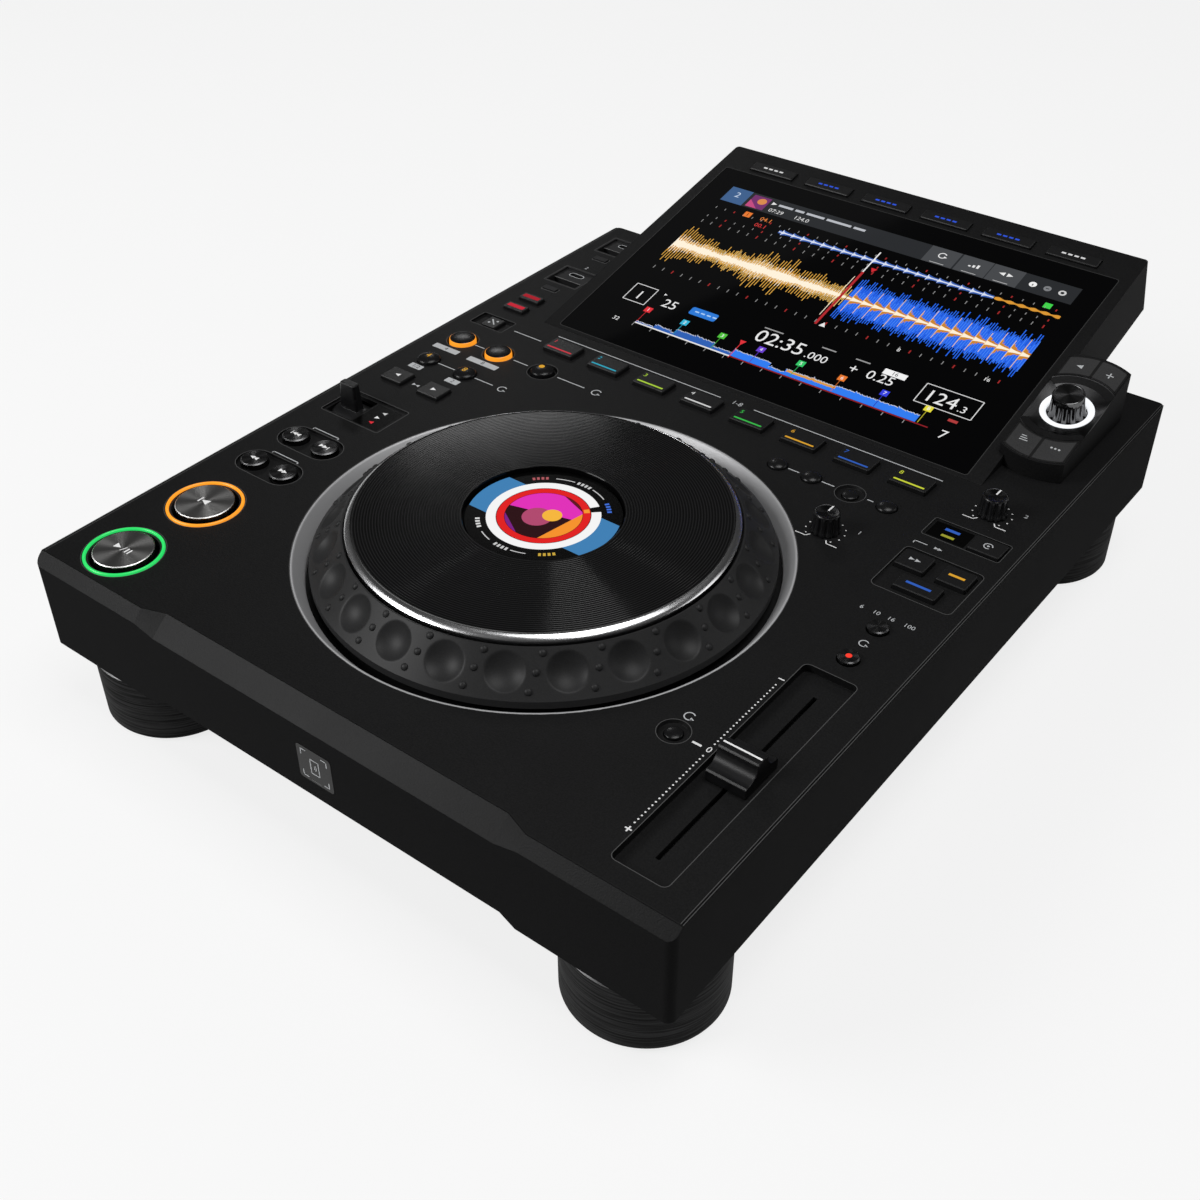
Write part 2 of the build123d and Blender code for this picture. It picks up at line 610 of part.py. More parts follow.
# ---------------------------------------------------------------- browser block
# A tower with bowed ends, cut off parallel to the display.  Its left side laps over the edge of
# the display housing.  A shallow dish is turned into the top round the browser knob, and the four
# keys fill what is left of the top.
dish_place = (BLOCK_X, DISH_UP)
dish_base = Plane(
    origin=SLOPE.from_local_coords((*dish_place, 0)), x_dir=SLOPE.x_dir, z_dir=SLOPE.z_dir
)
rise_back = BLOCK_RISE * slope_sin
block_front = DISPLAY_BACK + BLOCK_FRONT_UP * slope_cos - rise_back
block_rear = DISPLAY_BACK + BLOCK_REAR_UP * slope_cos - rise_back
ring_seat_radius = BROWSER_RING[1] + SEAM
dish_floor = BLOCK_RISE - DISH_DEPTH
dish_pitch = (DISH_RADIUS - ring_seat_radius) / DISH_DEPTH


def bowed_outline(front, rear, inset):
    """Outline of the block with straight sides and bowed ends, drawn in by an inset."""
    half = BLOCK_HALF_WIDTH - inset
    near = front + inset
    far = rear - inset
    with BuildSketch() as outline:
        with BuildLine():
            Line((BLOCK_X - half, near), (BLOCK_X - half, far))
            ThreePointArc((BLOCK_X - half, far), (BLOCK_X, far + BLOCK_BULGE), (BLOCK_X + half, far))
            Line((BLOCK_X + half, far), (BLOCK_X + half, near))
            ThreePointArc((BLOCK_X + half, near), (BLOCK_X, near - BLOCK_BULGE), (BLOCK_X - half, near))
        make_face()
    return outline.sketch


block_outline = bowed_outline(block_front, block_rear, 0)
key_seats = bowed_outline(BLOCK_FRONT_UP, BLOCK_REAR_UP, BLOCK_RIM)
key_faces = bowed_outline(BLOCK_FRONT_UP, BLOCK_REAR_UP, BLOCK_RIM + SEAM)
with BuildPart() as browser_block:
    with BuildSketch(DECK):
        add(block_outline)
    extrude(amount=DECK_TOP)
    split(bisect_by=SLOPE.offset(BLOCK_RISE), keep=Keep.BOTTOM)
    # Step over the display housing's edge.
    with BuildSketch(SLOPE.offset(SEAM)):
        with Locations((DISPLAY_X + SLAB_HALF_WIDTH + SEAM, SLAB_LENGTH / 2)):
            Rectangle(SLAB_HALF_WIDTH, 2 * SLAB_LENGTH, align=(Align.MAX, Align.CENTER))
    extrude(amount=-DECK_TOP, mode=Mode.SUBTRACT)
    # Key seats at both ends.
    with BuildSketch(SLOPE.offset(BLOCK_RISE)):
        add(key_seats)
        with Locations(dish_place):
            Circle(DISH_RADIUS + BLOCK_RIM, mode=Mode.SUBTRACT)
    extrude(amount=-BLOCK_KEY_DEPTH, mode=Mode.SUBTRACT)
    # Dish with the seat of its lit ring, and the hole of the knob's shaft.
    with BuildSketch(radial_section(dish_base)):
        with BuildLine():
            Polyline(
                (0, BLOCK_RISE + 1),
                (DISH_RADIUS + dish_pitch, BLOCK_RISE + 1),
                (ring_seat_radius, dish_floor),
                (ring_seat_radius, dish_floor - RING_SEAT),
                (KNOB_SHAFT + PIN_CLEARANCE, dish_floor - RING_SEAT),
                (KNOB_SHAFT + PIN_CLEARANCE, dish_floor - RING_SEAT - KNOB_SHAFT_LENGTH),
                (0, dish_floor - RING_SEAT - KNOB_SHAFT_LENGTH),
                close=True,
            )
        make_face()
    revolve(axis=Axis(dish_base.origin, dish_base.z_dir), mode=Mode.SUBTRACT)
save("browser_block", browser_block)

with BuildPart() as browser_keys:
    with BuildSketch(SLOPE.offset(BLOCK_RISE - BLOCK_KEY_DEPTH)):
        add(key_faces)
        with Locations(dish_place):
            Circle(DISH_RADIUS + BLOCK_RIM + SEAM, mode=Mode.SUBTRACT)
            Rectangle(2 * KEY_GAP, SLAB_LENGTH, mode=Mode.SUBTRACT)
    extrude(amount=BLOCK_KEY_DEPTH + SEAM)
save("browser_keys", browser_keys)


# ---------------------------------------------------------------- knobs
def fluted_knob(name, base, bottom, foot_radius, top_radius, top):
    """A tapered knob with upright flutes above a plain skirt, on its shaft."""
    with BuildPart() as knob:
        with BuildSketch(radial_section(base)):
            with BuildLine():
                Polyline(
                    (0, bottom - KNOB_SHAFT_LENGTH + KEY_GAP),
                    (KNOB_SHAFT, bottom - KNOB_SHAFT_LENGTH + KEY_GAP),
                    (KNOB_SHAFT, bottom),
                    (foot_radius, bottom),
                    (foot_radius, bottom + KNOB_SKIRT),
                    (top_radius, top - KNOB_EDGE),
                    (top_radius - KNOB_EDGE, top),
                    (0, top),
                    close=True,
                )
            make_face()
        revolve(axis=Axis(base.origin, base.z_dir))
        with BuildSketch(base.offset(bottom + KNOB_SKIRT)):
            with PolarLocations(foot_radius - FLUTE_DEPTH + FLUTE_RADIUS, FLUTE_COUNT):
                Circle(FLUTE_RADIUS)
        extrude(amount=top, mode=Mode.SUBTRACT)
    save(name, knob)


for name, x, back in KNOBS:
    fluted_knob(name, deck_axis(x, back), KEY_GAP, *DECK_KNOB)
fluted_knob("browser_knob", dish_base, dish_floor - RING_SEAT + KEY_GAP, *BROWSER_KNOB)

# ---------------------------------------------------------------- jog wheel
# A polished ring lines the well.  The soft grip ring turns on a bearing column through its web,
# which carries the turned metal plate on top.  A round display stands still on the column's top.
jog_base = deck_axis(0, JOG_BACK)
jog_axis = Axis(jog_base.origin, jog_base.z_dir)
jog_section = radial_section(jog_base)

with BuildPart() as jog_well_ring:
    with BuildSketch(jog_section):
        with BuildLine():
            Polyline(
                (WELL_RADIUS - RING_FIT, -TUB_DEPTH),
                (WELL_RADIUS - RING_FIT, 0),
                (WELL_RIM, 0),
                (WELL_FOOT_RADIUS, -WELL_DEPTH),
                (WELL_FOOT_RADIUS, -TUB_DEPTH),
                close=True,
            )
        make_face()
    revolve(axis=jog_axis)
save("jog_well_ring", jog_well_ring)

with BuildPart() as jog_bearing:
    with BuildSketch(jog_section):
        with BuildLine():
            Polyline(
                (0, -TUB_DEPTH),
                (BEARING_FLANGE[0], -TUB_DEPTH),
                (BEARING_FLANGE[0], -TUB_DEPTH + BEARING_FLANGE[1]),
                (BEARING_RADIUS, -TUB_DEPTH + BEARING_FLANGE[1]),
                (BEARING_RADIUS, JOG_DISPLAY_TOP - JOG_DISPLAY_THICKNESS),
                (0, JOG_DISPLAY_TOP - JOG_DISPLAY_THICKNESS),
                close=True,
            )
        make_face()
    revolve(axis=jog_axis)
save("jog_bearing", jog_bearing)

with BuildPart() as jog_display:
    with BuildSketch(jog_base.offset(JOG_DISPLAY_TOP - JOG_DISPLAY_THICKNESS)):
        Circle(JOG_DISPLAY_RADIUS)
    extrude(amount=JOG_DISPLAY_THICKNESS)
    chamfer(jog_display.faces().sort_by(Axis.Z)[-1].edges(), JOG_DISPLAY_CHAMFER)
save("jog_display", jog_display)

# The grip's conical face carries spherical finger dimples, and between them rows of small nubs
# that lean round the wheel.
cone_run = GRIP_FOOT_RADIUS - GRIP_TOP_RADIUS
cone_drop = GRIP_TOP - GRIP_FOOT
cone_length = sqrt(cone_run**2 + cone_drop**2)
cone_normal = (cone_drop / cone_length, cone_run / cone_length)
dimple_stand_off = sqrt(DIMPLE_SPHERE**2 - DIMPLE_RIM**2)
nub_stand_off = -sqrt(NUB_SPHERE**2 - NUB_RIM**2)


def above_cone(radius, stand_off):
    """Radius and height of a point that stands off the grip's cone along its normal."""
    height = GRIP_TOP - (radius - GRIP_TOP_RADIUS) * cone_drop / cone_run
    return radius + cone_normal[0] * stand_off, height + cone_normal[1] * stand_off


with BuildPart() as jog_ring:
    with BuildSketch(jog_section):
        with BuildLine():
            Polyline(
                (BEARING_RADIUS + BEARING_CLEARANCE, HUB_BOTTOM),
                (HUB_RADIUS, HUB_BOTTOM),
                (HUB_RADIUS, WEB_BOTTOM),
                (WEB_REACH, WEB_BOTTOM),
                (GRIP_FOOT_RADIUS - GRIP_WALL, GRIP_SKIRT),
                (GRIP_FOOT_RADIUS, GRIP_SKIRT),
                (GRIP_FOOT_RADIUS, GRIP_FOOT),
                (GRIP_TOP_RADIUS, GRIP_TOP),
                (GRIP_INNER_RADIUS, GRIP_TOP),
                (GRIP_INNER_RADIUS, WEB_TOP),
                (BEARING_RADIUS + BEARING_CLEARANCE, WEB_TOP),
                close=True,
            )
        make_face()
    revolve(axis=jog_axis)
    dimple_radius, dimple_height = above_cone(DIMPLE_RADIUS, dimple_stand_off)
    with Locations(jog_base.offset(dimple_height)):
        with PolarLocations(dimple_radius, DIMPLE_COUNT):
            Sphere(DIMPLE_SPHERE, mode=Mode.SUBTRACT)
    for row, radius in enumerate(NUB_ROWS):
        nub_radius, nub_height = above_cone(radius, nub_stand_off)
        nub_start = 180 / DIMPLE_COUNT + NUB_LEAN * (1 - row)
        with Locations(jog_base.offset(nub_height)):
            with PolarLocations(nub_radius, DIMPLE_COUNT, start_angle=nub_start):
                Sphere(NUB_SPHERE)
save("jog_ring", jog_ring)

# The plate is one turned disc: a flat top, a polished bevel, a skirt and two ribs on the web.
with BuildPart() as jog_plate:
    with BuildSketch(jog_section):
        with BuildLine():
            Polyline(
                (JOG_PLATE_HOLE, JOG_PLATE_TOP - JOG_PLATE_THICKNESS),
                (JOG_PLATE_HOLE, JOG_PLATE_TOP),
                (JOG_PLATE_FLAT, JOG_PLATE_TOP),
                (JOG_PLATE_RADIUS, JOG_PLATE_EDGE),
                (JOG_PLATE_RADIUS, JOG_PLATE_SKIRT),
                (JOG_PLATE_FLAT, JOG_PLATE_SKIRT),
                (JOG_PLATE_FLAT, JOG_PLATE_TOP - JOG_PLATE_THICKNESS),
                close=True,
            )
        make_face()
        for inner, outer in JOG_PLATE_RIBS:
            with Locations(((inner + outer) / 2, WEB_TOP)):
                Rectangle(
                    outer - inner,
                    JOG_PLATE_TOP - JOG_PLATE_THICKNESS - WEB_TOP,
                    align=(Align.CENTER, Align.MIN),
                )
    revolve(axis=jog_axis)
save("jog_plate", jog_plate)


# ---------------------------------------------------------------- keys
def flat_key(name, x, back, width, length, rise):
    """A bevelled cap on a flange that holds it under the deck plate."""
    with BuildPart() as key:
        with BuildSketch(DECK.offset(FLANGE_TOP - FLANGE)):
            with Locations((x, back)):
                Rectangle(width + 2 * KEY_LIP, length + 2 * KEY_LIP)
        extrude(amount=FLANGE)
        with BuildSketch(DECK.offset(FLANGE_TOP)):
            with Locations((x, back)):
                RectangleRounded(width, length, KEY_CORNER)
        extrude(amount=rise - FLANGE_TOP)
        chamfer(key.faces().sort_by(Axis.Z)[-1].edges(), KEY_BEVEL)
    save(name, key)


def round_key(name, x, back, radius, rise, dome, flange_top):
    """A turned cap with a domed top, on its flange."""
    base = deck_axis(x, back)
    with BuildPart() as key:
        with BuildSketch(radial_section(base)):
            with BuildLine():
                Polyline(
                    (0, rise),
                    (0, flange_top - FLANGE),
                    (radius + KEY_LIP, flange_top - FLANGE),
                    (radius + KEY_LIP, flange_top),
                    (radius, flange_top),
                    (radius, rise - dome),
                )
                TangentArc((0, rise), (radius, rise - dome), tangent=(1, 0))
            make_face()
        revolve(axis=Axis(base.origin, base.z_dir))
    save(name, key)


def lit_ring(x, back, inner, outer, rise, funnel):
    """A light guide let into the deck plate, with a lip below it and a funnel inside its top."""
    base = deck_axis(x, back)
    with BuildPart() as ring:
        with BuildSketch(radial_section(base)):
            with BuildLine():
                Polyline(
                    (inner, RING_BOTTOM),
                    (outer + RING_LIP, RING_BOTTOM),
                    (outer + RING_LIP, -PLATE),
                    (outer, -PLATE),
                    (outer, rise),
                    (min(inner + funnel, outer - SEAM), rise),
                    (inner, rise - funnel),
                    close=True,
                )
            make_face()
        revolve(axis=Axis(base.origin, base.z_dir))
    return ring.part


for key in FLAT_KEYS:
    flat_key(*key)
for key in ROUND_KEYS:
    round_key(*key, FLANGE_TOP)
for name, x, back, radius, rise, dome, ring in RING_KEYS:
    round_key(name, x, back, radius, rise, dome, RING_BOTTOM - KEY_GAP)

deck_rings = [lit_ring(x, back, *ring) for name, x, back, radius, rise, dome, ring in RING_KEYS]
with BuildPart() as light_rings:
    add(deck_rings)
    with BuildSketch(dish_base.offset(dish_floor - RING_SEAT)):
        Circle(BROWSER_RING[1])
        Circle(BROWSER_RING[0], mode=Mode.SUBTRACT)
    extrude(amount=RING_SEAT + SEAM)
save("light_rings", light_rings)

# ---------------------------------------------------------------- direction lever
# A paddle on a drum segment that closes its slot, on two pins in the deck's cheeks.
with BuildPart() as direction_lever:
    with BuildSketch(side_section(LEVER_X)):
        with Locations((LEVER_BACK, LEVER_PIVOT)):
            Circle(LEVER_DRUM)
        with Locations((LEVER_BACK, LEVER_PIVOT - 2 * LEVER_PIN)):
            Rectangle(
                2 * LEVER_DRUM, LEVER_DRUM, align=(Align.CENTER, Align.MAX), mode=Mode.SUBTRACT
            )
    extrude(amount=LEVER_DRUM_WIDTH / 2, both=True)
    with BuildSketch(side_section(LEVER_X)):
        with Locations((LEVER_BACK, LEVER_PIVOT)):
            Circle(LEVER_PIN)
    extrude(amount=BRACKET_X + BRACKET[0] / 2, both=True)
    with BuildSketch(DECK.offset(LEVER_PIVOT + LEVER_DRUM / 2)):
        with Locations((LEVER_X, LEVER_BACK)):
            RectangleRounded(*LEVER_FOOT, LEVER_ROUND)
    with BuildSketch(DECK.offset(LEVER_HEIGHT)):
        with Locations((LEVER_X, LEVER_BACK)):
            RectangleRounded(*LEVER_TIP, LEVER_ROUND)
    loft()
    fillet(direction_lever.faces().sort_by(Axis.Z)[-1].edges(), LEVER_ROUND / 2)
save("direction_lever", direction_lever)

# ---------------------------------------------------------------- tempo fader
# A cap with a ridge between two finger scoops, on a blade that runs in a track under the deck.
cap_half = FADER_CAP[1] / 2
cap_bottom = -FADER_TRAY[4] + FADER_CAP_GAP
with BuildPart() as tempo_fader:
    with BuildSketch(side_section(FADER_X)):
        with BuildLine():
            for side in (-1, 1):
                Polyline(
                    (FADER_BACK, cap_bottom),
                    (FADER_BACK + side * cap_half, cap_bottom),
                    (FADER_BACK + side * cap_half, FADER_LIP - FADER_EDGE),
                    (FADER_BACK + side * (cap_half - FADER_EDGE), FADER_LIP),
                )
                ThreePointArc(
                    (FADER_BACK + side * (cap_half - FADER_EDGE), FADER_LIP),
                    (FADER_BACK + side * FADER_SCOOP[0], FADER_SCOOP[1]),
                    (FADER_BACK + side * FADER_BAR, FADER_CAP[2] - FADER_EDGE),
                )
                Polyline(
                    (FADER_BACK + side * FADER_BAR, FADER_CAP[2] - FADER_EDGE),
                    (FADER_BACK + side * (FADER_BAR - FADER_EDGE), FADER_CAP[2]),
                    (FADER_BACK, FADER_CAP[2]),
                )
        make_face()
    extrude(amount=FADER_CAP[0] / 2, both=True)
    with BuildSketch(DECK.offset(FADER_SLIDER_BOTTOM)):
        with Locations((FADER_X, FADER_BACK)):
            Rectangle(*FADER_STEM)
    extrude(amount=cap_bottom - FADER_SLIDER_BOTTOM)
    with BuildSketch(DECK.offset(FADER_SLIDER_BOTTOM)):
        with Locations((FADER_X, FADER_BACK)):
            Rectangle(*FADER_SLIDER[:2])
    extrude(amount=FADER_SLIDER[2])
save("tempo_fader", tempo_fader)

with BuildPart() as fader_track:
    with BuildSketch(DECK.offset(-FADER_TRAY[4] - TRAY_FLOOR)):
        with Locations((FADER_X, FADER_BACK)):
            Rectangle(*TRACK_OUTSIDE[:2])
    extrude(amount=-TRACK_OUTSIDE[2])
    with BuildSketch(DECK.offset(-FADER_TRAY[4] - TRAY_FLOOR)):
        with Locations((FADER_X, FADER_BACK)):
            Rectangle(*TRACK_INSIDE[:2])
    extrude(amount=-TRACK_INSIDE[2], mode=Mode.SUBTRACT)
save("fader_track", fader_track)

# ---------------------------------------------------------------- memory-stick bays
# Each bay is a cup set into the deck: a deep pocket in front, and a ledge with a small socket
# behind it.  A narrow stop key stands in front of each bay.
with BuildPart() as memory_bays:
    for back in BAY_BACKS:
        with BuildSketch(DECK.offset(-BAY_DEPTH)):
            with Locations((BAY_X, back)):
                Rectangle(*BAY_SIZE)
        extrude(amount=BAY_DEPTH)
        with BuildSketch(DECK):
            with Locations((BAY_X, back)):
                Rectangle(BAY_SIZE[0] - 2 * BAY_WALL, BAY_SIZE[1] - 2 * BAY_WALL)
        extrude(amount=-BAY_LEDGE, mode=Mode.SUBTRACT)
        with BuildSketch(DECK):
            with Locations((BAY_X, back - BAY_SIZE[1] / 2 + BAY_WALL + BAY_POCKET[1] / 2)):
                Rectangle(*BAY_POCKET[:2])
        extrude(amount=-BAY_LEDGE - BAY_POCKET[2], mode=Mode.SUBTRACT)
        with BuildSketch(DECK):
            with Locations((BAY_X, back + BAY_SLOT_BACK)):
                SlotOverall(*BAY_SLOT[:2])
        extrude(amount=-BAY_LEDGE - BAY_SLOT[2], mode=Mode.SUBTRACT)
        with BuildSketch(DECK.offset(-PLATE - FLANGE)):
            with Locations((BAY_X, back - STOP_KEY_STEP)):
                Rectangle(STOP_KEY_SIZE[0] + 2 * KEY_LIP, STOP_KEY_SIZE[1] + 2 * KEY_LIP)
        extrude(amount=FLANGE)
        with BuildSketch(DECK.offset(-PLATE)):
            with Locations((BAY_X, back - STOP_KEY_STEP)):
                Rectangle(*STOP_KEY_SIZE)
        extrude(amount=PLATE + STOP_KEY_RISE)
save("memory_bays", memory_bays)

# ---------------------------------------------------------------- rear side
with BuildPart() as rear_sockets:
    # Mains inlet: a rim on the wall, a mouth with two cut corners, three flat pins.
    with BuildSketch(REAR):
        with Locations((-INLET_X, SOCKET_HEIGHT)):
            Rectangle(*INLET_RIM[:2])
    extrude(amount=INLET_RIM[2])
    with BuildSketch(REAR):
        with Locations((-INLET_X, SOCKET_HEIGHT)):
            Rectangle(*INLET_BODY[:2])
    extrude(amount=-INLET_BODY[2])
    inlet_left = -INLET_X - INLET_MOUTH[0] / 2
    inlet_right = -INLET_X + INLET_MOUTH[0] / 2
    inlet_low = SOCKET_HEIGHT - INLET_MOUTH[1] / 2
    inlet_high = SOCKET_HEIGHT + INLET_MOUTH[1] / 2
    with BuildSketch(REAR.offset(INLET_RIM[2])):
        with BuildLine():
            Polyline(
                (inlet_left, inlet_low),
                (inlet_right, inlet_low),
                (inlet_right, inlet_high - INLET_CUT),
                (inlet_right - INLET_CUT, inlet_high),
                (inlet_left + INLET_CUT, inlet_high),
                (inlet_left, inlet_high - INLET_CUT),
                close=True,
            )
        make_face()
    extrude(amount=-INLET_DEPTH, mode=Mode.SUBTRACT)
    with BuildSketch(REAR.offset(INLET_RIM[2] - INLET_DEPTH)):
        with Locations(*[(-INLET_X + x, SOCKET_HEIGHT + up) for x, up in INLET_PINS]):
            Rectangle(*INLET_PIN_SIZE[:2])
    extrude(amount=INLET_PIN_SIZE[2])
    # Network socket with its latch notch.
    with BuildSketch(REAR):
        with Locations((-NETWORK_X, SOCKET_HEIGHT)):
            Rectangle(*NETWORK_BODY[:2])
    extrude(amount=-NETWORK_BODY[2])
    with BuildSketch(REAR):
        with Locations((-NETWORK_X, SOCKET_HEIGHT)):
            Rectangle(*NETWORK_MOUTH[:2])
        with Locations((-NETWORK_X, SOCKET_HEIGHT - NETWORK_MOUTH[1] / 2)):
            Rectangle(*NETWORK_LATCH, align=(Align.CENTER, Align.MAX))
    extrude(amount=-NETWORK_MOUTH[2], mode=Mode.SUBTRACT)
    # Phono sockets: a flange on the wall, and a sleeve round its core.
    phono_places = [(-x, SOCKET_HEIGHT) for x in PHONO_XS]
    with BuildSketch(REAR.offset(-SIDE_WALL)):
        with Locations(*phono_places):
            Circle(PHONO_RADIUS)
    extrude(amount=SIDE_WALL + PHONO_REACH)
    with BuildSketch(REAR):
        with Locations(*phono_places):
            Circle(PHONO_FLANGE[0])
    extrude(amount=PHONO_FLANGE[1])
    with BuildSketch(REAR.offset(PHONO_REACH)):
        with Locations(*phono_places):
            Circle(PHONO_BORE[0])
            Circle(PHONO_CORE, mode=Mode.SUBTRACT)
    extrude(amount=-PHONO_BORE[1], mode=Mode.SUBTRACT)
save("rear_sockets", rear_sockets)

# The power key slides through the rear wall and is held by its inner flange.
with BuildPart() as power_key:
    with BuildSketch(REAR.offset(-SIDE_WALL - KEY_GAP - FLANGE)):
        with Locations((-POWER_X, SOCKET_HEIGHT)):
            Rectangle(POWER_SIZE[0] + 2 * KEY_LIP, POWER_SIZE[1] + 2 * KEY_LIP)
    extrude(amount=FLANGE)
    with BuildSketch(REAR.offset(-SIDE_WALL - KEY_GAP)):
        with Locations((-POWER_X, SOCKET_HEIGHT)):
            RectangleRounded(*POWER_SIZE, KEY_CORNER)
    extrude(amount=SIDE_WALL + KEY_GAP + POWER_PROUD)
    chamfer(power_key.faces().sort_by(Axis.Y)[-1].edges(), KEY_BEVEL)
save("power_key", power_key)
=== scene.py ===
# %% [markdown]
# # Dressing a table-top DJ deck
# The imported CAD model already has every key, knob and wheel in its right place. These cells give it
# its looks: finer surfaces for the round parts that catch the light, procedural finishes for all of
# it, the printed marks, the small lamps and the picture on the display. The first cell loads the
# CAD model. Sizes are written in millimetres, as on a drawing, and become metres at the very end.

from math import cos, pi, radians, sin

import bmesh
import bpy
import numpy as np
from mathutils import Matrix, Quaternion, Vector


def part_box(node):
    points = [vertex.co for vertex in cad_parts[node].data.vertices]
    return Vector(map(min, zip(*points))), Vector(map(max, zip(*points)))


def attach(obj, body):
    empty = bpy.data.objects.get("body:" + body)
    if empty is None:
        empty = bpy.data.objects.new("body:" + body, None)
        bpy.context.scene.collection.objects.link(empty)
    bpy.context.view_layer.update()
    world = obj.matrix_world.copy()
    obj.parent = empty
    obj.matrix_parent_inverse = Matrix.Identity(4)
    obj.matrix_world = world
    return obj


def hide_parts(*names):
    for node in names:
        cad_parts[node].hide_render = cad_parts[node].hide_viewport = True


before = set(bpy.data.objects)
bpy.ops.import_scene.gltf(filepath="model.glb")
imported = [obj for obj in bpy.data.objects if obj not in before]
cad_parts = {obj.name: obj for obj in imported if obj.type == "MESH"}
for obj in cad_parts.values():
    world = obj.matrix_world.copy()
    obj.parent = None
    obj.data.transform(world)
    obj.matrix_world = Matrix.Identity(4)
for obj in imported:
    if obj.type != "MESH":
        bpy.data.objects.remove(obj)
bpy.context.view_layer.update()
MM = 0.001
FRONT_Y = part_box("lower_case")[0].y / MM
DECK_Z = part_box("top_panel")[1].z / MM
print("front face at", round(FRONT_Y, 3), "deck top at", round(DECK_Z, 3), "nodes", len(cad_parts))

# %% [markdown]
# ## Places
# Nearly all of a deck's details lie on a few flat faces, so each face gets its own axes. A detail is
# then drawn as it would be on paper: across, along and out of that face. The alternative, turning
# and moving finished objects, would leave transforms on them, and every piece here has to keep its
# place in its mesh, with its object at the origin.


# %% Faces of the deck
class Place:
    """A flat face: points given as (across, along, out) in millimetres become world points in metres:
    origin + across * first axis + along * second axis + out * third axis."""

    def __init__(self, origin, across, along):
        self.origin = np.array(origin, float)
        self.axes = np.array([across, along, np.cross(across, along)], float)

    def world(self, points):
        return (self.origin + np.asarray(points, float) @ self.axes) * MM

    def moved(self, across, along, out=0.0):
        """The same face with its origin at another point of it."""
        place = Place(self.origin, self.axes[0], self.axes[1])
        place.origin = self.origin + np.array([across, along, out]) @ self.axes
        return place


TILT = radians(12.9)
DISPLAY_BACK = 287.5
BODY_DEPTH = 404.0
DECK = Place((0, FRONT_Y, DECK_Z), (1, 0, 0), (0, 1, 0))
SLOPE = Place((0, FRONT_Y + DISPLAY_BACK, DECK_Z), (1, 0, 0), (0, cos(TILT), sin(TILT)))
FRONT = Place((0, FRONT_Y, DECK_Z), (1, 0, 0), (0, 0, 1))
REAR = Place((0, FRONT_Y + BODY_DEPTH, DECK_Z), (-1, 0, 0), (0, 0, 1))
print("display tilt", round(TILT, 4), "rad")

# %% [markdown]
# ## Camera
# The camera comes first. It stands in front of the right corner, well above the deck, and its three
# angles are those at which a product photographer shows both the controls and the side.

# %% Camera
CAMERA_PLACE = (0.33441, -0.48979, 0.45751)
CAMERA_TURN = (51.678, 0.204, 37.725)
CAMERA_LENS = 45.414
camera_data = bpy.data.cameras.new("camera")
camera_data.lens = CAMERA_LENS
camera_data.clip_start = 0.01
camera = bpy.data.objects.new("camera", camera_data)
camera.location = CAMERA_PLACE
camera.rotation_euler = [radians(angle) for angle in CAMERA_TURN]
bpy.context.scene.collection.objects.link(camera)
bpy.context.scene.camera = camera
print("camera", CAMERA_PLACE)

# %% [markdown]
# ## Shader maths as Python
# A node tree of a dozen Math nodes is hard to read, and the formula it stands for is easy. The small
# class below wraps one output socket. Its operators add the Math nodes, so `1 - mask * 0.5` makes two
# of them, and `Finish.node` adds any other node from its type, settings and inputs.


# %% Socket arithmetic
class Wire:
    """One output socket of a material. + - * and / make Math nodes, and + - * also with the number first."""

    def __init__(self, finish, socket):
        self.finish, self.socket = finish, socket

    def math(self, operation, *others):
        inputs = {index: value for index, value in enumerate([self, *others])}
        return self.finish.node("ShaderNodeMath", {"operation": operation}, inputs)

    def __add__(self, other):
        return self.math("ADD", other)

    def __sub__(self, other):
        return self.math("SUBTRACT", other)

    def __rsub__(self, other):
        return self.finish.node("ShaderNodeMath", {"operation": "SUBTRACT"}, {0: other, 1: self})

    def __mul__(self, other):
        return self.math("MULTIPLY", other)

    def __truediv__(self, other):
        return self.math("DIVIDE", other)

    def ramp(self, low, high):
        """0 below low, 1 above high and a smooth S between them."""
        settings = {"interpolation_type": "SMOOTHSTEP"}
        return self.finish.node("ShaderNodeMapRange", settings, {"Value": self, 1: low, 2: high})

    def blend(self, first, second):
        """first where this wire is 0 and second where it is 1; both are colours."""
        settings = {"data_type": "RGBA"}
        return self.finish.node("ShaderNodeMix", settings, {0: self, 6: first, 7: second}, 2)

    __radd__ = __add__
    __rmul__ = __mul__


